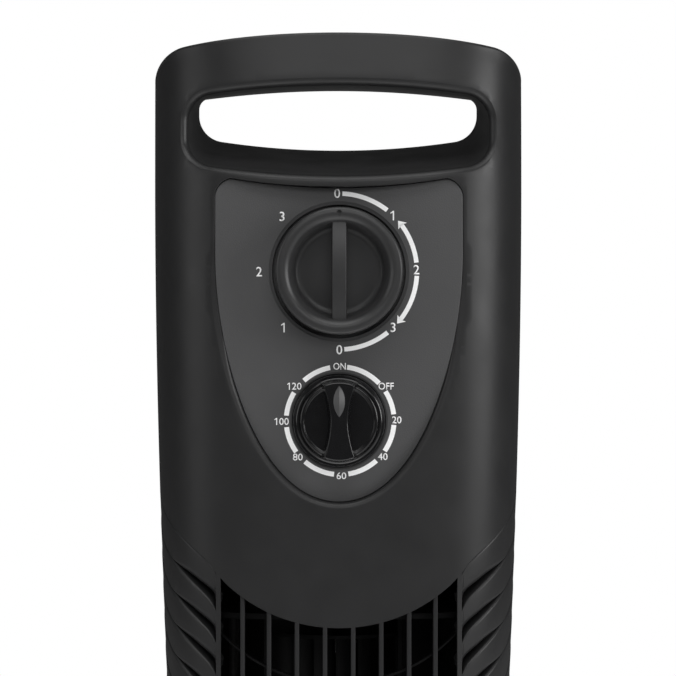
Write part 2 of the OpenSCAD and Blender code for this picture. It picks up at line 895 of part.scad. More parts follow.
module blade() {
    // A curved blade, hollow side towards the way it turns.
    translate([blower_r - 9.6, -2.4, 0]) rotate(8)
        rotate_extrude(angle = 78, $fn = 60) translate([8.2, 0]) square([0.9, blower_len]);
}

module blower_wheel() {
    rings = 6;
    color(gloss_black)
        at_blower() translate([0, 0, blower_z]) {
            for (i = [0:blade_count - 1])
                rotate(i * 360 / blade_count) blade();
            for (k = [0:rings])
                translate([0, 0, k * (blower_len - 1.6) / rings])
                    difference() {
                        cylinder(r = blower_r, h = 1.6, $fn = 120);
                        translate([0, 0, -1]) cylinder(r = k == 0 || k == rings ? 9 : 27.5, h = 4, $fn = 90);
                    }
        }
}

module blower_end_hub() {
    color(gloss_black)
        at_blower()
            difference() {
                rod_z(0, 0, 9, blower_z - 7, blower_z + 12, 48);
                rod_z(0, 0, 4, blower_z - 8, blower_z + 13, 40);
                translate([0, 0, blower_z - 3.5]) rotate([0, 90, 0]) cylinder(r = 1.6, h = 12, $fn = 24);
            }
}

module hub_set_screw() {
    color(steel)
        at_blower() translate([4.05, 0, blower_z - 3.5]) rotate([0, 90, 0])
            cylinder(r = 1.55, h = 4.6, $fn = 24);
}

module upper_stub_shaft() {
    color(steel)
        at_blower() {
            rod_z(0, 0, 9, blower_top - 12, blower_top, 48);
            rod_z(0, 0, 3, blower_top - small, blower_top + 16, 40);
        }
}

module motor_shaft() {
    color(steel) at_blower() rod_z(0, 0, 4, motor_z - 5, blower_z + 11, 40);
}

module motor_rotor() {
    color(steel)
        at_blower()
            difference() {
                rod_z(0, 0, 17, motor_z + 10, motor_z + 32, 60);
                rod_z(0, 0, 4, motor_z + 9, motor_z + 33, 40);
            }
}

module motor_stator() {
    color(steel)
        at_blower()
            difference() {
                translate([-motor_r, -motor_r, motor_z + 11]) cube([2 * motor_r, 2 * motor_r, 20]);
                rod_z(0, 0, 17.4, motor_z + 10, motor_z + 32, 60);
                for (a = [45:90:315])
                    rotate(a) rod_z(motor_screw_r, 0, 2.2, motor_z + 10, motor_z + 32, 24);
                for (a = [0:45:315])
                    rotate(a) translate([21, -3.2, motor_z + 10]) cube([9, 6.4, 22]);
            }
}

module motor_coils() {
    color(copper)
        at_blower()
            for (a = [0:45:315])
                rotate(a) translate([21.2, -3, motor_z + 4.5]) cube([8.6, 6, 33]);
}

module motor_bracket() {
    difference() {
        union() {
            rod_z(0, 0, 33, 0, 2, 72);
            rod_z(0, 0, 10, 0, 8.5, 48);
            for (a = [45:90:315])
                rotate(a) translate([28, -5, 0]) cube([17, 10, 2]);
        }
        rod_z(0, 0, 6.5, -1, 7, 40);
        rod_z(0, 0, 4.3, -2, 12, 40);
        for (a = [45:90:315])
            rotate(a) rod_z(motor_screw_r, 0, 1.8, -1, 3, 24);
    }
}

module motor_top_bracket() {
    color(steel) at_blower() translate([0, 0, motor_z + 38]) motor_bracket();
}

module motor_bottom_bracket() {
    color(steel) at_blower() translate([0, 0, motor_z + 4]) mirror([0, 0, 1]) motor_bracket();
}

module motor_bearings() {
    color(brass)
        at_blower()
            for (z = [motor_z + 38.1, motor_z - 2.9])
                difference() {
                    rod_z(0, 0, 6.45, z, z + 6.8, 40);
                    rod_z(0, 0, 4 + run_fit, z - 1, z + 9, 40);
                }
}

module motor_screws() {
    color(zinc)
        at_blower()
            for (a = [45:90:315])
                rotate(a) {
                    rod_z(motor_screw_r, 0, 1.7, motor_z + 2, bottom_plate_z + plate_t + 3, 24);
                    rod_z(motor_screw_r, 0, 3.4, motor_z, motor_z + 2, 24);
                    difference() {
                        rod_z(motor_screw_r, 0, 3.4, motor_z + 40.1, bottom_plate_z - 0.1, 24);
                        rod_z(motor_screw_r, 0, 1.7, motor_z + 40, bottom_plate_z, 24);
                    }
                }
}

module motor_capacitor() {
    color(shell_black)
        translate([-22, -56, 84]) cube([34, 14, 24]);
}

// A plate across the column, clear of the shells.
module cross_plate(z, t) {
    intersection() {
        union() {
            half_body(true, 10.5);
            half_body(false, 3.2);
        }
        translate([-100, -100, z]) cube([200, 200, t]);
    }
}

module duct_bottom_plate() {
    color(shell_black)
        difference() {
            cross_plate(bottom_plate_z, plate_t);
            rod_z(loom_x, loom_y, loom_r + 1, 140, 160, 24);
            at_blower() {
                rod_z(0, 0, 12, 140, 160, 48);
                for (a = [45:90:315])
                    rotate(a) rod_z(motor_screw_r, 0, 1.8, 140, 160, 24);
            }
        }
}

module duct_top_plate() {
    color(shell_black)
        difference() {
            union() {
                cross_plate(top_plate_z, plate_t);
                at_blower() rod_z(0, 0, 13, top_plate_z, top_plate_z + 10, 48);
            }
            rod_z(loom_x, loom_y, loom_r + 1, top_plate_z - 1, top_plate_z + 5, 24);
            at_blower() {
                rod_z(0, 0, 10, top_plate_z - 1, top_plate_z + 9, 48);
                rod_z(0, 0, 5, top_plate_z - 1, top_plate_z + 12, 40);
            }
        }
}

module bearing_rubber() {
    color(gloss_black)
        at_blower()
            difference() {
                rod_z(0, 0, 9.9, top_plate_z + 0.5, top_plate_z + 8.9, 48);
                rod_z(0, 0, 6.1, top_plate_z, top_plate_z + 9.5, 40);
            }
}

module upper_bearing() {
    color(brass)
        at_blower()
            difference() {
                rod_z(0, 0, 6, top_plate_z + 0.7, top_plate_z + 8.7, 40);
                rod_z(0, 0, 3 + run_fit, top_plate_z, top_plate_z + 10, 40);
            }
}

module bearing_cap() {
    color(zinc)
        at_blower()
            difference() {
                rod_z(0, 0, 12.5, top_plate_z - 1.2, top_plate_z - 0.1, 48);
                rod_z(0, 0, 4, top_plate_z - 2, top_plate_z + 1, 40);
            }
}

duct_low = bottom_plate_z + plate_t + 0.1;
duct_high = top_plate_z - 1.4;

// An upright wall of thickness t along the arc from a0 to a1, running straight on from its start for tail.
module duct_wall(r, t, a0, a1, tail) {
    back = turned([0, -1], a0) * tail;
    outer = arc([0, 0], r + t, a0, a1, 24);
    inner = arc([0, 0], r, a1, a0, 24);
    linear_extrude(duct_high - duct_low)
        polygon(concat([outer[0] + back], outer, inner, [inner[24] + back]));
}

// The long curved wall that leads the air from the rear inlet round to the front outlet.
module duct_scroll() {
    color(shell_black)
        at_blower() translate([0, 0, duct_low]) duct_wall(46, 2, -30, 62, 26);
}

// The short wall close to the wheel that parts the outlet from the inlet.
module duct_tongue() {
    color(shell_black)
        at_blower() translate([0, 0, duct_low]) mirror([1, 0, 0]) duct_wall(43, 2, -20, 6, 24);
}

module terminal_block() {
    color(natural)
        difference() {
            translate([-20, 38, block_z]) cube([30, 12, 14]);
            for (x = [-15, -5, 5])
                rod_y(x, block_z + 7, 2, 36, 52, 24);
        }
}

// A straight run of the loom between two points, with a round end.
module loom_run(a, b) {
    d = b - a;
    translate(a) {
        sphere(r = loom_r + 0.2, $fn = 32);
        rotate([0, acos(d[2] / norm(d)), atan2(d[1], d[0])]) cylinder(r = loom_r, h = norm(d), $fn = 32);
    }
}

// The bound wires between the terminal block, the motors and the switches.
module wire_loom() {
    route = [[-22.6, 44, block_z + 7], [loom_x, 44, block_z + 7],
             [loom_x, loom_y, block_z + 7], [loom_x, loom_y, speed_z + 4],
             [-12, loom_y, speed_z + 4], [-12, -24, speed_z + 4]];
    color(gloss_black)
        for (i = [0:len(route) - 2])
            loom_run(route[i], route[i + 1]);
}

// ---------------------------------------------------------------- nodes

base_cover();
base_plate();
base_screws();
rubber_feet();
pivot_post();
pivot_post_screws();
cord_grommet();
thrust_washer();
fixed_gear();
fixed_gear_screws();
column_foot();
column_foot_screws();
front_shell();
rear_shell();
shell_screws();
front_grille();
rear_grille();
louvre_left();
louvre_right();
control_panel();
panel_clips();
speed_switch();
switch_screws();
timer_unit();
timer_screws();
timer_bell();
duct_scroll();
duct_tongue();
duct_top_plate();
duct_bottom_plate();
motor_stator();
motor_coils();
motor_top_bracket();
motor_bottom_bracket();
motor_screws();
motor_bearings();
motor_capacitor();
upper_bearing();
bearing_rubber();
bearing_cap();
sweep_motor();
sweep_motor_screws();
terminal_block();
wire_loom();
speed_knob();
speed_shaft();
timer_knob();
timer_shaft();
blower_wheel();
blower_end_hub();
upper_stub_shaft();
motor_rotor();
motor_shaft();
hub_set_screw();
sweep_pinion();
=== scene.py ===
import json
import math

import bmesh
import bpy
import numpy as np
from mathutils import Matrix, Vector
from mathutils.geometry import delaunay_2d_cdt


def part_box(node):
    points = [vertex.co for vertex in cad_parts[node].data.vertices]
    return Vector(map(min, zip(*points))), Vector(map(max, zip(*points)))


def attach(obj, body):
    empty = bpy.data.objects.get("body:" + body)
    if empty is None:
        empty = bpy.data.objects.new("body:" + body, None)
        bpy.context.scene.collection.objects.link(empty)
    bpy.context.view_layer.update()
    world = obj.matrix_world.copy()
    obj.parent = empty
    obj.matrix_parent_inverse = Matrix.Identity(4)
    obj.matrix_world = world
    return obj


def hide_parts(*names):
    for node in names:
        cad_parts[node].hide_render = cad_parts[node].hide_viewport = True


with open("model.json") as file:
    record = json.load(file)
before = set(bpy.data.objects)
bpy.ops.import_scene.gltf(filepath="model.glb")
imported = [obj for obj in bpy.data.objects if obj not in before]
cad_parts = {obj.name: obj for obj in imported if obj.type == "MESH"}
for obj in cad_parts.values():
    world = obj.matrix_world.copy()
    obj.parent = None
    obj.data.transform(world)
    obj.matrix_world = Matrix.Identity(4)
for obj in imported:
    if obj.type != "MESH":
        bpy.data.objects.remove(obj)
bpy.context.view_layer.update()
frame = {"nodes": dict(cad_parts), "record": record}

MM = 0.001
nodes = frame["nodes"]

# ---------------------------------------------------------------- driving sizes, in metres

shell_low, shell_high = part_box("front_shell")
rear_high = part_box("rear_shell")[1]
base_low, base_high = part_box("base_cover")
panel_low, panel_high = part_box("control_panel")
speed_low, speed_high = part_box("speed_knob")
timer_low, timer_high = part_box("timer_knob")

FAN_H = shell_high[2]
COLUMN_Z = shell_low[2]
HALF_W_TOP = shell_high[0]
HALF_W_FOOT = 66.5 * MM
FRONT_DEPTH = -shell_low[1]
REAR_DEPTH = rear_high[1]
REAR_DEPTH_TOP = 9 * MM
TAPER_Z = 670 * MM            # the column narrows below this height
LEAN_Z = 668 * MM             # the front leans back above this height
LEAN = 8 * MM
REAR_SLOPE_H = 176 * MM
SQUARENESS = 3.4              # power of the section's rounded square
WALL = 2.4 * MM
PANEL_Y = panel_low[1]        # front face of the control panel
SPEED = Vector(((speed_low[0] + speed_high[0]) / 2, 0, (speed_low[2] + speed_high[2]) / 2))
TIMER = Vector(((timer_low[0] + timer_high[0]) / 2, 0, (timer_low[2] + timer_high[2]) / 2))
SPEED_R = (speed_high[0] - speed_low[0]) / 2
TIMER_R = (timer_high[0] - timer_low[0]) / 2
OUTLET_HALF_W = 52.8 * MM
APRON_Z = 471.6 * MM          # lowest point of the edge above the outlet
LOWER_APRON_Z = 118 * MM
APRON_R = 75 * MM
STRIP_W = 2 * MM              # upright strip between the outlet and the louvres
LOUVRE_X = OUTLET_HALF_W + STRIP_W
LOUVRE_BACK_Y = -12 * MM
LOUVRE_LOW_Z = 92 * MM
LOUVRE_PITCH = 14.4 * MM
RIDGE_Z = 479.0 * MM          # inner end of the topmost ridge


def smooth(t):
    c = np.clip(t, 0.0, 1.0)
    return c * c * (3 - 2 * c)


def half_w(z):
    return HALF_W_TOP - (HALF_W_TOP - HALF_W_FOOT) * smooth((TAPER_Z - z) / (TAPER_Z - COLUMN_Z))


def front_d(z):
    return FRONT_DEPTH - LEAN * np.clip((z - LEAN_Z) / (FAN_H - LEAN_Z), 0, None) ** 2


def rear_d(z):
    return REAR_DEPTH_TOP + (REAR_DEPTH - REAR_DEPTH_TOP) * smooth((FAN_H - z) / REAR_SLOPE_H)


# The half section is walked by angle t from +X round to -X. u is the way along it at a middle size.
ARC_T = np.linspace(0, math.pi, 1441)


def section(t, w, d):
    c, s = np.cos(t), np.abs(np.sin(t))
    return w * np.sign(c) * np.abs(c) ** (2 / SQUARENESS), d * s ** (2 / SQUARENESS)


def arc_table():
    x, y = section(ARC_T, 80 * MM, 65 * MM)
    return np.concatenate([[0], np.cumsum(np.hypot(np.diff(x), np.diff(y)))])


ARC_U = arc_table()
U_MAX = ARC_U[-1]


def u_at(x, z):
    """The way along the section of the surface point seen at x and z."""
    share = np.clip(np.abs(x) / half_w(z), 0, 1) ** (SQUARENESS / 2)
    return np.interp(np.arccos(np.sign(x) * share), ARC_T, ARC_U)


def lift(u, z, side):
    """Points on the column's surface. side is -1 for the front half and 1 for the rear half."""
    d = front_d(z) if side < 0 else rear_d(z)
    x, y = section(np.interp(u, ARC_U, ARC_T), half_w(z), d)
    return np.stack([x, side * y, z + 0 * x], axis=-1)


def surface_y(x, z, side):
    return lift(u_at(x, z), z, side)[..., 1]


def u_at_y(y, z, side):
    """The way along the section, on the +X side, where the surface is at depth y."""
    d = front_d(z) if side < 0 else rear_d(z)
    return np.interp(np.arcsin(np.clip(abs(y) / d, 0, 1) ** (SQUARENESS / 2)), ARC_T, ARC_U)


# ---------------------------------------------------------------- mesh helpers


def deselect():
    bpy.ops.object.select_all(action="DESELECT")


def pick(obj):
    deselect()
    obj.select_set(True)
    bpy.context.view_layer.objects.active = obj


def select_by(kind):
    """Sets edit mode to select corners or edges."""
    bpy.context.tool_settings.mesh_select_mode = (kind == "corners", kind == "edges", False)


def edit(*steps):
    """Runs edit mode steps on the active mesh, each with all of it selected."""
    bpy.ops.object.mode_set(mode="EDIT")
    for step in steps:
        bpy.ops.mesh.select_all(action="SELECT")
        step()
    bpy.ops.object.mode_set(mode="OBJECT")


def extrude(way):
    bpy.ops.mesh.extrude_region_move(TRANSFORM_OT_translate={"value": way})


def merge_doubles(distance=1e-6):
    bpy.ops.mesh.remove_doubles(threshold=distance)


def face_out():
    bpy.ops.mesh.normals_make_consistent(inside=False)


def apply_modifier(obj, kind, **settings):
    pick(obj)
    modifier = obj.modifiers.new(kind.title(), kind)
    for key, value in settings.items():
        setattr(modifier, key, value)
    bpy.ops.object.modifier_apply(modifier=modifier.name)


def settle(obj, name=None):
    """Puts the object's place into its mesh and leaves the object at the origin."""
    pick(obj)
    bpy.ops.object.transform_apply(location=True, rotation=True, scale=True)
    if name:
        obj.name = name
        obj.data.name = name
    return obj


def shade(obj, angle=35):
    pick(obj)
    bpy.ops.object.shade_smooth_by_angle(angle=math.radians(angle))


def join(pieces, name):
    deselect()
    for piece in pieces:
        piece.select_set(True)
    bpy.context.view_layer.objects.active = pieces[0]
    if len(pieces) > 1:
        bpy.ops.object.join()
    pieces[0].name = name
    pieces[0].data.name = name
    return pieces[0]


def finish_mesh(obj):
    """Merges doubles and turns every face outwards."""
    pick(obj)
    edit(merge_doubles, face_out)


def drawn_line(points):
    """A new mesh of one corner, extruded from point to point."""
    deselect()
    select_by("corners")
    bpy.ops.mesh.primitive_plane_add(size=1 * MM, location=points[0])

    def draw():
        bpy.ops.mesh.merge(type="CENTER")
        for a, b in zip(points, points[1:]):
            extrude(b - a)

    edit(draw)
    return bpy.context.object


def turned(name, profile, centre, axis="Y", steps=128):
    """A turned piece: a line drawn along the profile of (radius, place on the axis), then spun."""
    along = {"Y": Vector((0, 1, 0)), "Z": Vector((0, 0, 1))}[axis]
    obj = drawn_line([centre + Vector((r, 0, 0)) + along * h for r, h in profile])
    edit(lambda: bpy.ops.mesh.spin(steps=steps, angle=2 * math.pi, center=centre, axis=along),
         merge_doubles, face_out)
    return settle(obj, name)


def slab(name, outline, y, thickness):
    """A plate over a closed outline of (x, z), from depth y forwards by its thickness."""
    deselect()
    bpy.ops.mesh.primitive_circle_add(vertices=len(outline), radius=50 * MM, fill_type="NGON",
                                      location=(0, 0, 0))
    obj = settle(bpy.context.object, name)
    for v, (x, z) in zip(obj.data.vertices, outline):
        v.co = (x, y, z)
    pick(obj)
    select_by("corners")
    edit(lambda: extrude((0, -thickness, 0)), face_out)
    return obj


def block(name, low, high):
    """A box between two corners."""
    deselect()
    low, high = Vector(low), Vector(high)
    bpy.ops.mesh.primitive_cube_add(size=1, location=(low + high) / 2, scale=high - low)
    return settle(bpy.context.object, name)


def bevel_edges(obj, offset, segments, test):
    """Rounds the edges whose two ends pass the test."""
    pick(obj)
    select_by("edges")
    bpy.ops.object.mode_set(mode="EDIT")
    bpy.ops.mesh.select_all(action="DESELECT")
    bpy.ops.object.mode_set(mode="OBJECT")
    for edge in obj.data.edges:
        a, b = (obj.data.vertices[i].co for i in edge.vertices)
        edge.select = bool(test(a, b))
    bpy.ops.object.mode_set(mode="EDIT")
    bpy.ops.mesh.bevel(offset=offset, segments=segments)
    bpy.ops.object.mode_set(mode="OBJECT")


def inside(points, loop):
    """True for each of the points that lies inside the closed loop."""
    x, y = points[:, 0, None], points[:, 1, None]
    x0, y0 = loop[:, 0], loop[:, 1]
    x1, y1 = np.roll(x0, -1), np.roll(y0, -1)
    crosses = (y0 > y) != (y1 > y)
    at = x0 + (y - y0) * (x1 - x0) / np.where(y1 == y0, 1e-12, y1 - y0)
    return (np.sum(crosses & (x < at), axis=1) % 2) == 1


def clear_of(points, loops, distance):
    """True for each of the points that is at least distance away from every loop's corners."""
    keep = np.ones(len(points), bool)
    for loop in loops:
        for start in range(0, len(points), 4000):
            part = points[start:start + 4000]
            gaps = np.min(np.hypot(part[:, 0, None] - loop[:, 0], part[:, 1, None] - loop[:, 1]), axis=1)
            keep[start:start + 4000] &= gaps > distance
    return keep


def sheet_over(edge, holes, spacing):
    """Triangles over the flat region inside edge and outside the holes. Returns (flat points, triangles)."""
    low, high = edge.min(0), edge.max(0)
    across, up = np.arange(low[0], high[0], spacing[0]), np.arange(low[1], high[1], spacing[1])
    grid = np.stack(np.meshgrid(across, up), -1).reshape(-1, 2)
    grid = grid[inside(grid, edge)]
    for hole in holes:
        grid = grid[~inside(grid, hole)]
    loops = [edge, *holes]
    grid = grid[clear_of(grid, loops, 0.55 * min(spacing))]
    points, edges = [], []
    for loop in loops:
        start = len(points)
        points += [tuple(p) for p in loop]
        edges += [(start + i, start + (i + 1) % len(loop)) for i in range(len(loop))]
    points += [tuple(p) for p in grid]
    found, _, faces = delaunay_2d_cdt([Vector(p) for p in points], edges, [], 0, 1e-7)[:3]
    flat = np.array([tuple(p) for p in found])
    faces = np.array([f for f in faces if len(f) == 3])
    middle = flat[faces].mean(axis=1)
    keep = inside(middle, edge)
    for hole in holes:
        keep &= ~inside(middle, hole)
    return flat, faces[keep]


def new_object(name, data):
    obj = bpy.data.objects.new(name, data)
    bpy.context.collection.objects.link(obj)
    return obj


def mesh_from(name, sheets, rings):
    """One mesh from sheets of (points, triangles) and rings of equal loops, merged where they meet."""
    mesh = bpy.data.meshes.new(name)
    bm = bmesh.new()
    for points, faces in sheets:
        corners = [bm.verts.new(p) for p in points]
        for face in faces:
            bm.faces.new([corners[i] for i in face])
    for loops, closed in rings:
        rows = [[bm.verts.new(p) for p in loop] for loop in loops]
        for near, far in zip(rows, rows[1:]):
            for i in range(len(near) if closed else len(near) - 1):
                j = (i + 1) % len(near)
                bm.faces.new([near[i], near[j], far[j], far[i]])
    bmesh.ops.remove_doubles(bm, verts=bm.verts, dist=2e-6)
    loose = [v for v in bm.verts if not v.link_faces]
    bmesh.ops.delete(bm, geom=loose, context="VERTS")
    bmesh.ops.recalc_face_normals(bm, faces=bm.faces)
    bm.to_mesh(mesh)
    bm.free()
    return new_object(name, mesh)


def face_away_from_axis(obj):
    """Turns an open sheet round if most of it faces the column's axis."""
    total = 0.0
    for face in obj.data.polygons:
        out = Vector((face.center.x, face.center.y, 0))
        total += face.area * face.normal.dot(out)
    if total < 0:
        pick(obj)
        edit(bpy.ops.mesh.flip_normals)


def offset_loop(loop, distance):
    """A closed loop of (x, z) moved outwards by distance, which may differ at each corner."""
    ahead, behind = np.roll(loop, -1, 0), np.roll(loop, 1, 0)
    tangent = ahead - behind
    tangent /= np.linalg.norm(tangent, axis=1)[:, None]
    normal = np.stack([tangent[:, 1], -tangent[:, 0]], -1)
    area = np.sum(loop[:, 0] * ahead[:, 1] - ahead[:, 0] * loop[:, 1])
    if area < 0:
        normal = -normal
    return loop + normal * np.broadcast_to(distance, len(loop))[:, None]


def with_y(loop, y):
    return np.stack([loop[:, 0], np.broadcast_to(y, len(loop)), loop[:, 1]], -1)


def to_uz(loop):
    return np.stack([u_at(loop[:, 0], loop[:, 1]), loop[:, 1]], -1)


def even(points, step):
    """A polyline with corners about step apart."""
    points = np.asarray(points, float)
    out = [points[0]]
    for a, b in zip(points, points[1:]):
        n = max(1, int(math.ceil(np.linalg.norm(b - a) / step)))
        out += [a + (b - a) * k / n for k in range(1, n + 1)]
    return np.array(out)


# ---------------------------------------------------------------- outlines in the front view (x, z)


def circle_part(cx, cz, r, a0, a1, n):
    a = np.radians(np.linspace(a0, a1, n + 1))
    return np.stack([cx + r * np.cos(a), cz + r * np.sin(a)], -1)


CROWN_R = 460 * MM
SHOULDER_R = 19 * MM


def crown():
    """The arched top edge from where it leaves the right side to where it meets the left side."""
    cx = HALF_W_TOP + 0.5 * MM - SHOULDER_R
    low = FAN_H - CROWN_R
    turn = math.degrees(math.acos(cx / (CROWN_R - SHOULDER_R)))
    cz = low + math.sin(math.radians(turn)) * (CROWN_R - SHOULDER_R)
    first = math.degrees(math.acos((HALF_W_TOP - cx) / SHOULDER_R))
    right = circle_part(cx, cz, SHOULDER_R, first, turn, 20)
    top = circle_part(0, low, CROWN_R, turn, 180 - turn, 60)[1:-1]
    left = right[::-1] * [-1, 1]
    return np.concatenate([right, top, left])


GRIP_TOP_R = 465 * MM
GRIP_LOW_R = 370 * MM


def grip(half, sill, top, r_top, r_low):
    """The grip opening: two bowed long edges and four round corners, always with the same corners."""
    top_c = top - GRIP_TOP_R
    low_c = sill + GRIP_LOW_R
    z_top = top_c + math.sqrt((GRIP_TOP_R - r_top) ** 2 - (half - r_top) ** 2)
    z_low = low_c - math.sqrt((GRIP_LOW_R - r_low) ** 2 - (half - r_low) ** 2)
    a_top = math.degrees(math.atan2(z_top - top_c, half - r_top))
    a_low = math.degrees(math.atan2(low_c - z_low, half - r_low))
    return np.concatenate([
        circle_part(half - r_low, z_low, r_low, -a_low, 0, 16),
        circle_part(half - r_top, z_top, r_top, 0, a_top, 12),
        circle_part(0, top_c, GRIP_TOP_R, a_top, 180 - a_top, 60)[1:-1],
        circle_part(-half + r_top, z_top, r_top, 180 - a_top, 180, 12),
        circle_part(-half + r_low, z_low, r_low, 180, 180 + a_low, 16),
        circle_part(0, low_c, GRIP_LOW_R, 180 + a_low, 360 - a_low, 60)[1:-1],
    ])


# The grip opening's half width, sill, top and corner radii at three depths.
GRIP_MID = np.array([65.3, 688.3, 716.7, 5.4, 12.2]) * MM      # at the parting plane
GRIP_FRONT = np.array([67.6, 672.4, 712.7, 12.0, 13.0]) * MM    # where the lip starts
GRIP_REAR = np.array([66.3, 687.0, 717.2, 4.5, 12.0]) * MM
LIP_R = 3.4 * MM
REAR_LIP_R = 2.0 * MM

PANEL_MID_Z = 636.9 * MM      # height of the control panel's widest place
PANEL_TAIL = 109.9 * MM       # from there to its lowest point
PANEL_TOP_Z = 666.9 * MM      # middle of its upper edge
PANEL_RIM_CURVE = 568 * MM    # diameter that the upper edge dips by
PANEL_CORNER_R = 8.6 * MM


def panel_rim(x):
    """Height of the control panel's upper edge."""
    return PANEL_TOP_Z + x ** 2 / PANEL_RIM_CURVE


def panel_loop():
    """Outline of the control panel: square shoulders over a long pointed oval."""
    half, r = panel_high[0], PANEL_CORNER_R
    t = np.sin(np.linspace(0, math.pi / 2, 49))
    low = np.stack([half * (1 - t ** 1.83) ** (1 / 2.1), PANEL_MID_Z - PANEL_TAIL * t], -1)
    corner = circle_part(half - r, panel_rim(half - r) - r + 0.4 * MM, r, 0, 80, 14)
    xs = np.linspace(corner[-1][0], 0, 26)[1:]
    rim = np.stack([xs, panel_rim(xs)], -1)
    side = even([low[0], corner[0]], 2 * MM)[1:-1]
    right = np.concatenate([low[::-1], side, corner, rim])
    left = right[1:-1][::-1] * [-1, 1]
    return np.concatenate([right, left])


def outlet_loop():
    """Outline of the outlet between the two curved aprons."""
    half = math.degrees(math.asin(OUTLET_HALF_W / APRON_R))
    top = circle_part(0, APRON_Z + APRON_R, APRON_R, 270 + half, 270 - half, 48)
    low = circle_part(0, LOWER_APRON_Z - APRON_R, APRON_R, 90 + half, 90 - half, 48)
    right = even([low[-1], top[0]], 3 * MM)[1:-1]
    left = even([top[-1], low[0]], 3 * MM)[1:-1]
    return np.concatenate([right, top, left, low])


def louvre_rise(s):
    """Height of a ridge above its inner end, s along the section from there."""
    return 2 * MM * (1 - np.exp(-s / (1.3 * MM))) + 3 * MM * (1 - np.exp(-s / (9 * MM))) + 0.62 * s


def louvre_span(z):
    """u at the inner and the outer end of a louvre at height z."""
    return u_at(LOUVRE_X, z), u_at_y(LOUVRE_BACK_Y, z, -1)


def louvre_edge_uz(top_z):
    """Closed outline of the right louvre panel's window in (u, z)."""
    u_in, u_out = louvre_span(RIDGE_Z)
    s = np.linspace(0, u_in - u_out, 30)
    top = np.stack([u_in - s, top_z + louvre_rise(s)], -1)
    top[0, 0] = u_at(LOUVRE_X, top[0, 1])
    inner_z = np.arange(LOUVRE_LOW_Z, top_z, 3 * MM)
    inner = np.stack([u_at(LOUVRE_X, inner_z), inner_z], -1)
    outer_z = np.linspace(top[-1, 1], LOUVRE_LOW_Z, 160)[1:-1]
    outer = np.stack([u_at_y(LOUVRE_BACK_Y, outer_z, -1), outer_z], -1)
    top[-1, 0] = u_at_y(LOUVRE_BACK_Y, top[-1, 1], -1)
    low_u = np.linspace(u_at_y(LOUVRE_BACK_Y, LOUVRE_LOW_Z, -1), inner[0, 0], 24)[:-1]
    low = np.stack([low_u, np.full(23, LOUVRE_LOW_Z)], -1)
    return np.concatenate([inner, top, outer, low])


FIRST_LEAF = 16.3 * MM
LOUVRE_TOP_Z = RIDGE_Z + FIRST_LEAF

# ---------------------------------------------------------------- shells

SKIN_STEP = (2.6 * MM, 4.0 * MM)
CROWN_FILLET = 1.6 * MM


def round_over(inner, rim, y0, r, side, steps):
    """Loops of a quarter round, r deep, from the surface at inner to the rim."""
    loops = []
    for a in np.linspace(0, math.pi / 2, steps + 1):
        flat = inner + (rim - inner) * math.sin(a)
        loops.append(with_y(flat, y0 - side * r * (1 - math.cos(a))))
    return loops


def crown_rings(side):
    """The rounded front or rear edge of the arched top and the wall behind it, to the parting plane."""
    edge = crown()
    ahead, behind = np.roll(edge, -1, 0), np.roll(edge, 1, 0)
    ahead[-1], behind[0] = edge[-1], edge[0]
    tangent = ahead - behind
    tangent /= np.linalg.norm(tangent, axis=1)[:, None]
    inward = np.stack([-tangent[:, 1], tangent[:, 0]], -1)
    along = np.minimum(np.arange(len(edge)), np.arange(len(edge))[::-1])
    r = CROWN_FILLET * smooth(along / 14)
    if side > 0:
        r = r * 0.8
    inner = edge + inward * r[:, None]
    y0 = surface_y(inner[:, 0], inner[:, 1], side)
    loops = round_over(inner, edge, y0, r, side, 6)
    for k in (0.5, 1.0):
        loops.append(with_y(edge, (y0 - side * r) * (1 - k)))
    return inner, loops


def grip_rings(side):
    """The lip round the grip opening and the tunnel behind it, to the parting plane."""
    outer_size = GRIP_FRONT if side < 0 else GRIP_REAR
    r = LIP_R if side < 0 else REAR_LIP_R
    rim = grip(*outer_size)
    grown = grip(*(outer_size + np.array([r, -r, r, r, r])))
    y0 = surface_y(grown[:, 0], grown[:, 1], side)
    loops = round_over(grown, rim, y0, r, side, 8)
    for k in np.linspace(0, 1, 9)[1:]:
        flat = grip(*(outer_size + (GRIP_MID - outer_size) * k))
        loops.append(with_y(flat, (y0 - side * r) * (1 - k)))
    return grown, loops


def recess_rings():
    """The soft border that falls from the shell's face to the control panel."""
    outline = panel_loop()
    lower = smooth((TAPER_Z - 15 * MM - outline[:, 1]) / (45 * MM))
    gap = 0.15 * MM
    slope = 0.3 * MM + 2.5 * MM * lower
    top_edge = offset_loop(outline, gap + slope)
    y0 = surface_y(top_edge[:, 0], top_edge[:, 1], -1)
    floor_y = np.maximum(PANEL_Y + 0.15 * MM, y0 + 0.1 * MM)
    soft = np.minimum((floor_y - y0) * 0.9, 0.15 * MM + 1.35 * MM * lower)
    loops = [with_y(top_edge, y0)]
    for share in (0.15, 0.3, 0.45, 0.6, 0.72, 0.84, 0.93, 1.0):
        flat = offset_loop(outline, gap + slope * (1 - share))
        loops.append(with_y(flat, y0 + soft * (0.7 * share ** 2 + 0.3 * share ** 8)))
    loops.append(with_y(offset_loop(outline, gap), floor_y))
    loops.append(with_y(offset_loop(outline, gap * 0.8), floor_y + 2 * MM))
    return top_edge, loops


def outlet_rings():
    outline = outlet_loop()
    y0 = surface_y(outline[:, 0], outline[:, 1], -1)
    inner = offset_loop(outline, -0.25 * MM)
    return outline, [with_y(outline, y0), with_y(inner, y0 + 0.3 * MM)]


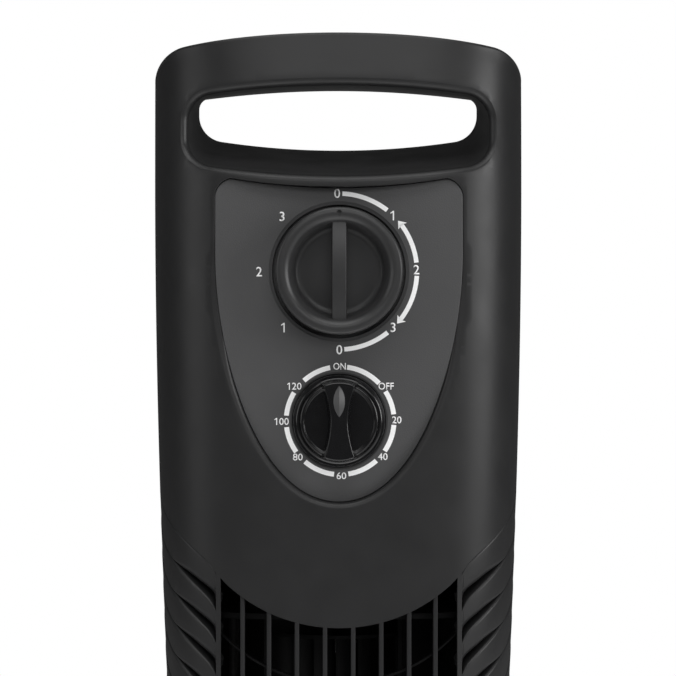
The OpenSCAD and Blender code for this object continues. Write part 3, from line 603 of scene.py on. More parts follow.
def shell_edge_uz(crown_inner):
    """Closed outline of a shell half in (u, z): the parting line, the foot and the arched top."""
    top = to_uz(crown_inner)
    top[0, 0], top[-1, 0] = 0, U_MAX
    right_z = np.arange(COLUMN_Z, crown_inner[0, 1], 4 * MM)
    right = np.stack([np.zeros(len(right_z)), right_z], -1)
    left = right[::-1] + [U_MAX, 0]
    low_u = np.linspace(U_MAX, 0, 90)[1:-1]
    low = np.stack([low_u, np.full(88, COLUMN_Z)], -1)
    return np.concatenate([right, top, left, low])


def shell(name, side, holes_uz, rings, crown_inner, crown_loops):
    flat, faces = sheet_over(shell_edge_uz(crown_inner), holes_uz, SKIN_STEP)
    points = lift(flat[:, 0], flat[:, 1], side)
    obj = mesh_from(name, [(points, faces)], [(crown_loops, False), *rings])
    face_away_from_axis(obj)
    apply_modifier(obj, "SOLIDIFY", thickness=WALL, offset=-1, use_even_offset=True,
                   use_quality_normals=True, thickness_clamp=1.0)
    shade(obj, 32)
    return obj


def front_shell():
    crown_inner, crown_loops = crown_rings(-1)
    grip_edge, grip_loops = grip_rings(-1)
    recess_edge, recess_loops = recess_rings()
    outlet_edge, outlet_loops = outlet_rings()
    right = louvre_edge_uz(LOUVRE_TOP_Z)
    left = right * [-1, 1] + [U_MAX, 0]
    holes = [to_uz(grip_edge), to_uz(recess_edge), to_uz(outlet_edge), right, left]
    rings = [(grip_loops, True), (recess_loops, True), (outlet_loops, True)]
    return shell("column_front", -1, holes, rings, crown_inner, crown_loops)


SCREW_Z = (112 * MM, 250 * MM, 430 * MM, 590 * MM)
INLET = (44 * MM, 150 * MM, 500 * MM)     # half width, low, high


def screw_holes():
    """Loops and short tubes where the shell screws go in from behind."""
    edges, rings = [], []
    for z in SCREW_Z:
        for sign in (1, -1):
            x = sign * (half_w(z) - 9.5 * MM)
            loop = circle_part(x, z, 3.7 * MM, 0, 360, 24)[:-1]
            y0 = surface_y(loop[:, 0], loop[:, 1], 1)
            edges.append(to_uz(loop))
            rings.append(([with_y(loop, y0), with_y(loop, 8.4 * MM)], True))
    return edges, rings


def rear_shell():
    crown_inner, crown_loops = crown_rings(1)
    grip_edge, grip_loops = grip_rings(1)
    half, low, high = INLET
    r = 3 * MM
    arcs = [circle_part(x, z, r, turn, turn + 90, 6)
            for x, z, turn in ((half - r, high - r, 0), (r - half, high - r, 90),
                               (r - half, low + r, 180), (half - r, low + r, 270))]
    inlet = np.concatenate([part[:-1] for last, arc in zip([arcs[-1], *arcs], arcs)
                            for part in (even([last[-1], arc[0]], 3.5 * MM), arc)])
    hole_edges, hole_rings = screw_holes()
    holes = [to_uz(grip_edge), to_uz(inlet), *hole_edges]
    return shell("column_rear", 1, holes, [(grip_loops, True), *hole_rings], crown_inner, crown_loops)


# ---------------------------------------------------------------- louvres and grille


LEAVES = 27
LEAF_T = 0.8 * MM
FADE = 0.35 * MM              # a leaf sinks this far before it folds
# A leaf's rounded upper edge: rows of (share of the pitch, depth in mm).
CREST = ((0.0, 1.5), (0.01, 0.85), (0.03, 0.4), (0.055, 0.13), (0.085, 0.02), (0.11, 0.0))
# Where the slot starts, as a share of the pitch, at distances in mm from the inner end.
SLOT_AT = (0, 3, 6, 9.5, 13, 17, 21, 26)
SLOT = (0.74, 0.75, 0.79, 0.83, 0.86, 0.91, 0.955, 0.99)


def leaf_rows(s):
    """One leaf from its ridge down to the slot above the next: rows of (share of the pitch, depth)."""
    deep = 1 - smooth((s - 14 * MM) / (15 * MM))
    slot = np.interp(s, np.array(SLOT_AT) * MM, SLOT)
    start = slot - np.interp(s, np.array([0, 10, 20, 26]) * MM, [0.34, 0.28, 0.14, 0.03])
    rows = [(0 * s + share, 0 * s + depth * MM) for share, depth in CREST]
    rows.append((0.11 + (start - 0.11) * 0.5, FADE * 0.3 + 0 * s))
    rows.append((start, FADE * 0.6 + 0 * s))
    for k in (0.25, 0.5, 0.75, 1.0):
        rows.append((start + (slot - start) * k, FADE * 0.6 + 1.8 * MM * deep * k ** 2))
    for k, depth in ((0.04, 2.6), (0.1, 4.4), (0.2, 9.5)):
        rows.append((slot + (1 - slot) * k, FADE + depth * MM * deep))
    rows.append((0 * s + 0.999, FADE + 10.0 * MM * deep))
    return rows


def louvre(side_x):
    """The ribbed panel beside the outlet: leaves one under another, each folding back into a slot."""
    u_in, u_out = louvre_span(RIDGE_Z)
    reach = u_in - u_out
    s = np.concatenate([[0.0], reach * np.linspace(0, 1, 34)])
    rise = louvre_rise(s)
    grid = []
    for leaf in range(LEAVES):
        top = LOUVRE_TOP_Z if leaf == 0 else RIDGE_Z - (leaf - 1) * LOUVRE_PITCH
        height = FIRST_LEAF if leaf == 0 else LOUVRE_PITCH
        grid += [(top + rise - share * height, depth) for share, depth in leaf_rows(s)]
    foot = RIDGE_Z - (LEAVES - 1) * LOUVRE_PITCH + rise
    grid += [(foot - share * LOUVRE_PITCH, 0 * s + depth * MM) for share, depth in CREST]
    edge = foot - CREST[-1][0] * LOUVRE_PITCH
    for k in (0.25, 0.5, 0.75, 1.0):
        grid.append((edge + (LOUVRE_LOW_Z - edge) * k, 0 * s + 0.3 * MM * k))
    z, depth = np.array(grid).transpose(1, 0, 2)
    depth = depth.copy()
    depth[:, 0] = 0.3 * MM
    inner, outer = u_at(LOUVRE_X, z), u_at_y(LOUVRE_BACK_Y, z, -1)
    u = inner + (outer - inner) * s / reach + 0.02 * MM
    step = 0.2 * MM
    here, beside = lift(u, z, -1), lift(u + step, z, -1)
    tangent = beside - here
    tangent /= np.linalg.norm(tangent, axis=-1)[..., None]
    inward = np.stack([tangent[..., 1], -tangent[..., 0], 0 * u], -1)
    toward = np.sum(inward * here, axis=-1)
    inward = np.where(toward[..., None] > 0, -inward, inward)
    place = here + inward * depth[..., None]
    place[:, 0, 1] = here[:, 0, 1] + 0.3 * MM
    place[:, :2, 0] = here[:, :2, 0]
    place[..., 0] *= side_x
    obj = mesh_from("louvre_panel_" + ("right" if side_x > 0 else "left"), [], [(list(place), False)])
    face_away_from_axis(obj)
    apply_modifier(obj, "SOLIDIFY", thickness=LEAF_T, offset=-1)
    shade(obj, 50)
    return obj


BAR_X = (6.25 * MM, 18.7 * MM, 31.1 * MM, 42.9 * MM)
BAR_W = 2.0 * MM
BAR_DEPTH = 9 * MM
RIB_Z = (445 * MM, 385 * MM, 325 * MM, 265 * MM, 205 * MM, 145 * MM)


def apron_rise(x):
    """How far an apron's edge is from its middle height, x from the middle."""
    return APRON_R - math.sqrt(APRON_R ** 2 - x ** 2)


def bar(x):
    """One upright bar, following the front face, with its front corners rounded."""
    top, low = APRON_Z + apron_rise(x) + 1.2 * MM, LOWER_APRON_Z - apron_rise(x) - 1.2 * MM
    front = surface_y(np.array([x]), np.array([(top + low) / 2]), -1)[0] + 0.06 * MM
    obj = block("bar", (x - BAR_W / 2, front, low), (x + BAR_W / 2, front + BAR_DEPTH, top))
    bevel_edges(obj, 0.35 * MM, 3, lambda a, b: abs(a.z - b.z) > 0.1 and abs(a.y - front) < 1e-6)
    return obj


def rib(low_z):
    """One arched rib behind the bars, with its lowest point at low_z."""
    line = []
    for x in np.linspace(-OUTLET_HALF_W, OUTLET_HALF_W, 33):
        y = surface_y(np.array([x]), np.array([low_z]), -1)[0] + BAR_DEPTH - 0.2 * MM
        line.append((x, y, low_z + apron_rise(x)))
    low = np.array(line)
    up, back = [0, 0, 1.1 * MM], [0, 4 * MM, 0]
    obj = mesh_from("rib", [], [([low, low + up, low + up + back, low + back, low], False)])
    pick(obj)
    select_by("corners")

    def close_ends():
        bpy.ops.mesh.region_to_loop()
        bpy.ops.mesh.fill_holes(sides=4)

    edit(close_ends)
    finish_mesh(obj)
    return obj


def smooth_join(pieces, name):
    obj = join(pieces, name)
    shade(obj, 40)
    return obj


def grille():
    """The eight upright bars of the outlet."""
    return smooth_join([bar(sign * x) for x in BAR_X for sign in (1, -1)], "outlet_bars")


def grille_ribs():
    """The curved ribs that tie the bars together behind."""
    return smooth_join([rib(z) for z in RIB_Z], "outlet_ribs")


# ---------------------------------------------------------------- control panel, dials and print

WELL_R = 31.4 * MM
WELL_FLOOR = -56.5 * MM
TIMER_WELL_R = 21.8 * MM
PANEL_T = 2.5 * MM
CUP_BACK = -54.5 * MM         # the bosses behind the wells reach from here
CUP_FRONT = -58.7 * MM        # to here


def cut(obj, tool, operation="DIFFERENCE"):
    apply_modifier(obj, "BOOLEAN", object=tool, operation=operation, solver="EXACT")
    bpy.data.objects.remove(tool, do_unlink=True)


def harden(obj, angle=30):
    """Smooth shading that leaves the flat faces flat."""
    shade(obj, angle)
    apply_modifier(obj, "WEIGHTED_NORMAL", keep_sharp=True, weight=80)


def control_plate():
    """The grained plate behind both dials, with a dished well for each of them."""
    plate = slab("control_plate", panel_loop(), PANEL_Y + PANEL_T, PANEL_T)
    bevel_edges(plate, 0.45 * MM, 4, lambda a, b: abs(a.y - PANEL_Y) < 1e-6 and abs(b.y - PANEL_Y) < 1e-6)
    rim = PANEL_Y - 1 * MM
    for centre, r, lip, fall in ((SPEED, WELL_R, 1.7 * MM, 0.6 * MM),
                                 (TIMER, TIMER_WELL_R, 0.9 * MM, 0.35 * MM)):
        boss_r = r + 1.5 * MM
        boss = [(0, CUP_BACK), (boss_r, CUP_BACK), (boss_r, CUP_FRONT), (0, CUP_FRONT)]
        cut(plate, turned("cup", boss, centre), "UNION")
        well = [(0, WELL_FLOOR), (r - lip - 0.3 * MM, WELL_FLOOR), (r - lip, WELL_FLOOR - 0.3 * MM),
                (r - lip, PANEL_Y + fall + 0.3 * MM), (r - 0.92 * lip, PANEL_Y + fall),
                (r - 0.6 * lip, PANEL_Y + 0.75 * fall), (r - 0.2 * lip, PANEL_Y + 0.2 * fall),
                (r, PANEL_Y - 0.05 * MM), (r + 1 * MM, rim), (0, rim)]
        cut(plate, turned("well", well, centre))
    finish_mesh(plate)
    harden(plate, 25)
    return plate


SPEED_FRONT = -76.5 * MM
DISH_FLOOR = SPEED_FRONT + 9.3 * MM
DISH_R = 22.6 * MM
FINGER_W = 6.2 * MM
FINGER_CROWN = 3.0 * MM       # the finger bar is this much lower at its ends
DROP_R = 1.05 * MM            # the sunk mark on the rim
DROP_UP = 25.7 * MM


def rounded(corners, r, steps=4):
    """The profile with each inner corner rounded by a short arc of cut length r."""
    out = [corners[0]]
    for before, at, after in zip(corners, corners[1:], corners[2:]):
        before, at, after = Vector(before), Vector(at), Vector(after)
        a = at + (before - at).normalized() * min(r, (before - at).length * 0.45)
        b = at + (after - at).normalized() * min(r, (after - at).length * 0.45)
        for k in range(steps + 1):
            t = k / steps
            out.append(tuple(a * (1 - t) ** 2 + at * 2 * t * (1 - t) + b * t ** 2))
    out.append(corners[-1])
    return out


def finger_bar():
    """The bar across the speed dial's dish, crowned along its length."""
    f, half, foot = SPEED_FRONT, DISH_R - 0.2 * MM, DISH_FLOOR + 1 * MM
    obj = block("finger_bar", (-FINGER_W / 2, f, SPEED.z - half), (FINGER_W / 2, foot, SPEED.z + half))
    pick(obj)
    edit(lambda: bpy.ops.mesh.subdivide(number_cuts=15))
    for v in obj.data.vertices:
        up = (foot - v.co.y) / (foot - f)
        v.co.y += up * FINGER_CROWN * ((v.co.z - SPEED.z) / half) ** 2
        v.co.x *= 1 + 0.10 * (1 - up)

    def on_front_edge(p):
        crown_y = f + FINGER_CROWN * ((p.z - SPEED.z) / half) ** 2
        return abs(abs(p.x) - FINGER_W / 2) < 2e-5 and abs(p.y - crown_y) < 2e-5

    bevel_edges(obj, 0.35 * MM, 3, lambda a, b: on_front_edge(a) and on_front_edge(b))
    return obj


def drop_mark():
    """A cutter for the small sunk drop on the speed dial's rim, its point towards the bar."""
    f, top = SPEED_FRONT, SPEED.z + DROP_UP
    drop = turned("drop", [(0, f + 1.3 * MM), (DROP_R, f + 1.0 * MM), (DROP_R, f - 1 * MM), (0, f - 1 * MM)],
                  Vector((0, 0, top)), steps=24)
    for v in drop.data.vertices:
        down = max(0.0, top - v.co.z) / DROP_R
        v.co.z -= 0.9 * MM * down ** 1.5
        v.co.x *= 1 - 0.35 * down
    return drop


def speed_dial():
    """The large dial: a rounded rim round a deep dish, and a crowned finger bar across the dish."""
    f, b, r, floor_y = SPEED_FRONT, speed_high[1], SPEED_R, DISH_FLOOR
    corners = [(0, b), (r - 0.6 * MM, b), (r, b - 0.8 * MM), (r, f + 1.9 * MM),
               (r - 0.25 * MM, f + 0.95 * MM), (r - 1.0 * MM, f + 0.4 * MM),
               (r - 2.6 * MM, f + 0.12 * MM), (r - 4.2 * MM, f + 0.35 * MM),
               (DISH_R - 0.6 * MM, f + 1.7 * MM), (DISH_R - 1.9 * MM, f + 4.8 * MM),
               (DISH_R - 2.9 * MM, floor_y - 1.0 * MM), (DISH_R - 4.6 * MM, floor_y + 0.05 * MM),
               (DISH_R - 7.5 * MM, floor_y), (0, floor_y)]
    dial = turned("speed_dial", rounded(corners, 2.4 * MM, 6), SPEED, steps=144)
    cut(dial, finger_bar(), "UNION")
    cut(dial, drop_mark())
    finish_mesh(dial)
    harden(dial, 40)
    return dial


TIMER_FRONT = -74.5 * MM
TIMER_DECK = -67.2 * MM
TIMER_GRIP_R = 17.2 * MM


def waist(z, top):
    """Half width of the timer dial's grip at height z above its centre, at its top or its foot."""
    return (3.7 if top else 5.1) * MM + 3.6 * MM * (abs(z) / TIMER_GRIP_R) ** 1.8


def grip_loop(top):
    """Outline of the timer dial's grip as (x, height): two waisted sides between two arcs."""
    r = (17.0 if top else 17.8) * MM
    end = 16.0 / 17.2 * r
    side = [(waist(h, top), h) for h in np.linspace(-end, end, 31)]
    reach = side[-1][0]
    turn = math.atan2(end, reach)
    arc = [(math.cos(a) * reach / math.cos(turn), end + r * (math.sin(a) - math.sin(turn)))
           for a in np.linspace(turn, math.pi - turn, 11)[1:-1]]
    return side + arc + [(-x, h) for x, h in side[::-1]] + [(-x, -h) for x, h in arc]


def grip_front_y(h):
    """Depth of the timer dial's grip at height h above its centre."""
    return TIMER_FRONT + 0.9 * MM * (h / TIMER_GRIP_R) ** 2


def timer_grip():
    """The waisted grip: a slab whose front outline is narrower than its foot."""
    loop, front_loop, foot = grip_loop(False), grip_loop(True), TIMER_DECK + 1.5 * MM
    grip_piece = slab("timer_grip", [(TIMER.x + x, TIMER.z + h) for x, h in loop], foot, foot - TIMER_FRONT)
    for v in grip_piece.data.vertices:
        if v.co.y < TIMER_DECK - 2 * MM:
            gaps = [abs(x - v.co.x + TIMER.x) + abs(h - v.co.z + TIMER.z) for x, h in loop]
            x, h = front_loop[gaps.index(min(gaps))]
            v.co = (TIMER.x + x, grip_front_y(h), TIMER.z + h)
    finish_mesh(grip_piece)
    near = TIMER_DECK - 4 * MM
    bevel_edges(grip_piece, 0.45 * MM, 3, lambda a, b: a.y < near and b.y < near)
    return grip_piece


def timer_dial():
    """The small polished dial: a stepped skirt, a deck, and a waisted grip across it."""
    b, r, deck = timer_high[1], TIMER_R, TIMER_DECK
    corners = [(0, b), (r - 0.4 * MM, b), (r, b - 0.6 * MM), (r, -63.4 * MM), (r - 1.6 * MM, -65.3 * MM),
               (r - 2.7 * MM, -65.5 * MM), (r - 3.1 * MM, -64.9 * MM), (r - 3.3 * MM, deck + 0.2 * MM),
               (r - 4.4 * MM, deck - 0.1 * MM), (r - 5.2 * MM, deck + 0.5 * MM), (0, deck + 1.1 * MM)]
    dial = turned("timer_dial", rounded(corners, 0.5 * MM), TIMER)
    cut(dial, timer_grip(), "UNION")
    finish_mesh(dial)
    harden(dial, 35)
    return dial


def timer_pointer():
    """The lens on the top half of the timer dial's grip: two long facets that meet in a ridge."""
    middle, half_h, half_w_lens, slope = TIMER.z + 8.9 * MM, 6.9 * MM, 2.55 * MM, 0.5
    left, ridge, right = [], [], []
    for h in np.linspace(-1, 1, 25):
        z = middle + half_h * h
        w = half_w_lens * (1 - h * h) ** 0.9
        base = grip_front_y(z - TIMER.z) + 0.04 * MM
        left.append((TIMER.x - w, base, z))
        right.append((TIMER.x + w, base, z))
        ridge.append((TIMER.x, base - 0.02 * MM - slope * w, z))
    lens = mesh_from("timer_pointer", [], [([left, ridge, right, left], False)])
    finish_mesh(lens)
    return lens


# Lettering and rings are thin raised ink, placed by clock angle from the top of a dial.
INK_T = 0.05 * MM
LETTER_H = {"speed": 4.25 * MM, "timer": 3.15 * MM}
CAPITAL = 0.729               # height of a capital as a share of the type size


def clock_place(centre, r, degrees):
    a = math.radians(degrees)
    return Vector((centre.x + r * math.sin(a), PANEL_Y, centre.z + r * math.cos(a)))


def ink_arc(centre, r, width, first, last):
    """A flat band of ink round a dial, from one clock angle to another."""
    steps = max(4, int((last - first) / 2))
    loops = []
    for k in range(steps + 1):
        a = first + (last - first) * k / steps
        loops.append([clock_place(centre, r - width / 2, a), clock_place(centre, r + width / 2, a)])
    return ribbon("ring_band", loops)


def ribbon(name, pairs):
    """A thin flat band through pairs of points on the panel's face."""
    obj = settle(drawn_line(pairs[0]), name)
    bm = bmesh.new()
    bm.from_mesh(obj.data)
    bm.verts.ensure_lookup_table()
    last = [bm.verts[0], bm.verts[1]]
    for pair in pairs[1:]:
        here = [bm.verts.new(p) for p in pair]
        bm.faces.new([last[0], last[1], here[1], here[0]])
        last = here
    bm.to_mesh(obj.data)
    bm.free()
    return obj


def arrow_head(centre, r, tip, way):
    """An arrow head with its tip at a clock angle, pointing clockwise when way is 1."""
    point = clock_place(centre, r, tip)
    left = clock_place(centre, r - 2.3 * MM, tip - way * 5.4)
    right = clock_place(centre, r + 2.5 * MM, tip - way * 5.0)
    notch = clock_place(centre, r, tip - way * 3.9)
    return ribbon("arrow_head", [[left, left.lerp(point, 0.01)], [notch, point],
                                 [right, right.lerp(point, 0.01)]])


def lettering(text, place, height, width=0.98):
    """A word or number as thin raised ink, centred on its place."""
    deselect()
    bpy.ops.object.text_add(location=(0, 0, 0))
    obj = bpy.context.object
    obj.data.body = text
    obj.data.align_x = "CENTER"
    obj.data.align_y = "CENTER"
    obj.data.size = height / CAPITAL
    obj.data.resolution_u = 3
    obj.data.offset = 0.012 * height
    pick(obj)
    bpy.ops.object.convert(target="MESH")
    obj = bpy.context.object
    low = Vector(map(min, *[v.co for v in obj.data.vertices]))
    high = Vector(map(max, *[v.co for v in obj.data.vertices]))
    middle, stretch = (low + high) / 2, height / (high.y - low.y)
    for v in obj.data.vertices:
        v.co = (place.x + (v.co.x - middle.x) * width, PANEL_Y, place.z + (v.co.y - middle.y) * stretch)
    return settle(obj, "lettering")


def numeral_one(place, height):
    """A plain figure one: an upright stroke with a flag and no foot."""
    pairs = (((0.02, -0.5), (0.15, -0.5)), ((0.02, 0.31), (0.15, 0.5)),
             ((-0.02, 0.30), (0.05, 0.5)), ((-0.22, 0.19), (-0.22, 0.30)))
    return ribbon("numeral_one", [[place + Vector((x, 0, z)) * height for x, z in pair] for pair in pairs])


def word(text, place, height, width=0.98):
    """Lettering, with the plain figure one set in where the word has it."""
    if "1" not in text:
        return [lettering(text, place, height, width)]
    if text == "1":
        return [numeral_one(place, height)]
    rest = text.replace("1", "")
    one_at = place - Vector((0.37 * len(rest) + 0.04, 0, 0)) * height
    return [numeral_one(one_at, height),
            lettering(rest, place + Vector((0.34 * height, 0, 0)), height, width)]


def print_piece(pieces, name):
    """Joins flat ink into one piece, gives it its thickness and sets it on the panel's face."""
    obj = join(pieces, name)
    pick(obj)
    edit(lambda: merge_doubles(1e-7), lambda: extrude((0, -INK_T, 0)), face_out)
    return settle(obj, name)


SPEED_PRINT_R = 34.7 * MM
TIMER_PRINT_R = 24.0 * MM


def speed_scale():
    """Four bands, two arrow heads and the numbers round the large dial: (text, angle, shift in mm)."""
    centre, r = SPEED, SPEED_PRINT_R
    bands = ((2.5, 38.2), (53.0, 83.4), (93.2, 128.0), (141.4, 176.1))
    pieces = [ink_arc(centre, r, 2.0 * MM, a, b) for a, b in bands]
    pieces += [arrow_head(centre, r, 49.3, -1), arrow_head(centre, r, 131.9, 1)]
    words = (("0", -1.4, 0), ("1", 44.3, -0.45), ("2", 88.6, -0.35), ("3", 135.5, -0.35), ("0", 180, 0.1),
             ("1", 224.2, -0.55), ("2", 269.9, -0.75), ("3", 314.7, -0.6))
    for text, angle, aside in words:
        place_at = clock_place(centre, r + 0.1 * MM, angle) + Vector((aside * MM, 0, 0))
        pieces += word(text, place_at, LETTER_H["speed"], 1.0)
    return print_piece(pieces, "speed_scale")


def timer_scale():
    """The ring and numbers round the small dial: (text, angle, radius, shift in mm, width)."""
    centre, r = TIMER, TIMER_PRINT_R
    ring_centre = TIMER + Vector((0.5 * MM, 0, 0))
    bands = ((7.5, 46.3), (57.2, 83.2), (94.5, 124.3), (137.8, 171.2), (186.5, 220.7), (234.5, 263.1),
             (275.4, 301.4), (317.9, 349.3))
    pieces = [ink_arc(ring_centre, r, 2.15 * MM, a, b) for a, b in bands]
    words = (("ON", 0.5, 24.2, 0, 0.86), ("OFF", 53.3, 25.7, 0.35, 0.93), ("20", 89.2, 25.3, 0.4, 1.02),
             ("40", 130.0, 24.9, 0.4, 1.02), ("60", 179.4, 24.5, 0.8, 1.06), ("80", 229.5, 24.9, 0.6, 1.06),
             ("100", 269.3, 26.4, 0.85, 1.04), ("120", 306.5, 25.8, 0.85, 1.04))
    for text, angle, at, aside, width in words:
        place_at = clock_place(centre, at * MM, angle) + Vector((aside * MM, 0, 0))
        pieces += word(text, place_at, LETTER_H["timer"], width)
    return print_piece(pieces, "timer_scale")


# ---------------------------------------------------------------- base

def base_dome():
    """The round base's cover, spun from its section."""
    r, neck_z = base_high[0], base_high[2]
    corners = [(r - 2.6 * MM, base_low[2]), (r, base_low[2]), (r, 7 * MM), (r - 1.8 * MM, 10.6 * MM),
               (r - 6 * MM, 12 * MM), (96 * MM, 15.5 * MM), (76 * MM, 20.5 * MM), (62 * MM, 25.5 * MM),
               (55 * MM, 30.5 * MM), (52 * MM, neck_z), (31 * MM, neck_z), (31 * MM, neck_z - 2.6 * MM)]
    dome = turned("base_dome", rounded(corners, 5 * MM, 6), Vector((0, 0, 0)), axis="Z", steps=160)
    finish_mesh(dome)
    shade(dome, 40)
    return dome


# ---------------------------------------------------------------- finishes


def material(name):
    mat = bpy.data.materials.new(name)
    mat.use_nodes = True
    tree = mat.node_tree
    return mat, tree, tree.nodes["Principled BSDF"], tree.nodes.new("ShaderNodeTexCoord")


def link(tree, a, out, b, into):
    tree.links.new(a.outputs[out], b.inputs[into])


def add_node(tree, kind, values={}):
    node = tree.nodes.new("ShaderNode" + kind)
    for key, value in values.items():
        node.inputs[key].default_value = value
    return node


def noise(tree, source, scale, detail=3.0, roughness=0.5, out="Object"):
    node = add_node(tree, "TexNoise", {"Scale": scale, "Detail": detail, "Roughness": roughness})
    link(tree, source, out, node, "Vector")
    return node


def gloss(tree, shader, pattern, low, high):
    """Roughness that follows a pattern's middle range from low to high."""
    node = add_node(tree, "MapRange", {"From Min": 0.3, "From Max": 0.7, "To Min": low, "To Max": high})
    link(tree, pattern, "Fac", node, "Value")
    link(tree, node, "Result", shader, "Roughness")


def tint(tree, shader, pattern, colour, change):
    """Base colour that wanders a little either side of the given colour."""
    node = add_node(tree, "Mix")
    node.data_type = "RGBA"
    for key, share in (("A", 1 - change), ("B", 1 + change)):
        node.inputs[key].default_value = (*[c * share for c in colour], 1)
    link(tree, pattern, "Fac", node, "Factor")
    link(tree, node, "Result", shader, "Base Color")


def bump(tree, shader, pattern, strength, depth, under=None, out="Fac"):
    node = add_node(tree, "Bump", {"Strength": strength, "Distance": depth})
    link(tree, pattern, out, node, "Height")
    if under is not None:
        link(tree, under, "Normal", node, "Normal")
    link(tree, node, "Normal", shader, "Normal")
    return node


def moulded_plastic(name, colour, rough, grain=1400, depth=0.012, specular=0.3):
    """Moulded plastic: a fine spark-eroded grain, slow colour drift and slightly uneven gloss."""
    mat, tree, shader, coords = material(name)
    tint(tree, shader, noise(tree, coords, 14, 2), colour, 0.05)
    gloss(tree, shader, noise(tree, coords, 60, 4), rough - 0.04, rough + 0.04)
    shader.inputs["Specular IOR Level"].default_value = specular
    waves = bump(tree, shader, noise(tree, coords, 30, 1), 0.05, 0.3 * MM)
    bump(tree, shader, noise(tree, coords, grain, 3, 0.6), 0.6, depth * MM, waves)
    return mat


def leather_grain(name, colour, rough):
    """Plastic with a moulded leather grain about a millimetre across."""
    mat, tree, shader, coords = material(name)
    shader.inputs["Specular IOR Level"].default_value = 0.3
    tint(tree, shader, noise(tree, coords, 25, 3), colour, 0.07)
    warped = add_node(tree, "VectorMath", {1: (0.9 * MM,) * 3})
    warped.operation = "MULTIPLY_ADD"
    link(tree, noise(tree, coords, 400, 2), "Color", warped, 0)
    link(tree, coords, "Object", warped, 2)
    cells = add_node(tree, "TexVoronoi", {"Scale": 950})
    cells.feature = "DISTANCE_TO_EDGE"
    link(tree, warped, "Vector", cells, "Vector")
    pebble = add_node(tree, "MapRange", {"From Max": 0.28})
    pebble.interpolation_type = "SMOOTHSTEP"
    link(tree, cells, "Distance", pebble, "Value")
    fine = bump(tree, shader, noise(tree, coords, 1800, 2), 0.4, 0.01 * MM)
    bump(tree, shader, pebble, 0.55, 0.035 * MM, fine, "Result")
    gloss(tree, shader, noise(tree, coords, 90, 3), rough - 0.04, rough + 0.05)
    return mat


def polished_plastic(name, colour, rough=0.13):
    """Polished moulded plastic with hairline handling marks."""
    mat, tree, shader, coords = material(name)
    tint(tree, shader, noise(tree, coords, 30, 2), colour, 0.08)
    gloss(tree, shader, noise(tree, coords, 260, 6, 0.7), rough, rough + 0.07)
    bump(tree, shader, noise(tree, coords, 45, 1), 0.08, 0.12 * MM)
    return mat


def ink(name, colour):
    """Screen-printed ink: slightly patchy, with a faint edge to each dot."""
    mat, tree, shader, coords = material(name)
    tint(tree, shader, noise(tree, coords, 1500, 3), colour, 0.05)
    gloss(tree, shader, noise(tree, coords, 500, 2), 0.5, 0.65)
    bump(tree, shader, noise(tree, coords, 2200, 2), 0.2, 0.01 * MM)
    return mat


def metal(name, colour, rough, stretch=(1, 1, 1), grain=900):
    """Plated or ground metal: a directional grain and cloudy gloss."""
    mat, tree, shader, coords = material(name)
    shader.inputs["Metallic"].default_value = 1.0
    stretched = add_node(tree, "Mapping", {"Scale": stretch})
    link(tree, coords, "Object", stretched, "Vector")
    lines = noise(tree, stretched, grain, 4, out="Vector")
    tint(tree, shader, lines, colour, 0.1)
    gloss(tree, shader, noise(tree, coords, 120, 3), rough - 0.06, rough + 0.08)
    bump(tree, shader, lines, 0.3, 0.01 * MM)
    return mat


def banded(name, colour, metallic, rough, per_metre, depth_mm):
    """A stack or winding: fine even lines one above another."""
    mat, tree, shader, coords = material(name)
    shader.inputs["Metallic"].default_value = metallic
    wave = add_node(tree, "TexWave", {"Scale": per_metre / math.tau, "Distortion": 0.4})
    wave.bands_direction = "Z"
    link(tree, coords, "Object", wave, "Vector")
    tint(tree, shader, wave, colour, 0.25)
    gloss(tree, shader, noise(tree, coords, 200, 3), rough - 0.05, rough + 0.08)
    bump(tree, shader, wave, 0.7, depth_mm * MM)
    return mat


def rubber(name, colour, rough=0.75):
    """Matt rubber with a dusty bloom."""
    mat, tree, shader, coords = material(name)
    tint(tree, shader, noise(tree, coords, 80, 4), colour, 0.2)
    gloss(tree, shader, noise(tree, coords, 150, 3), rough - 0.06, rough + 0.08)
    bump(tree, shader, noise(tree, coords, 1100, 3), 0.5, 0.03 * MM)
    return mat


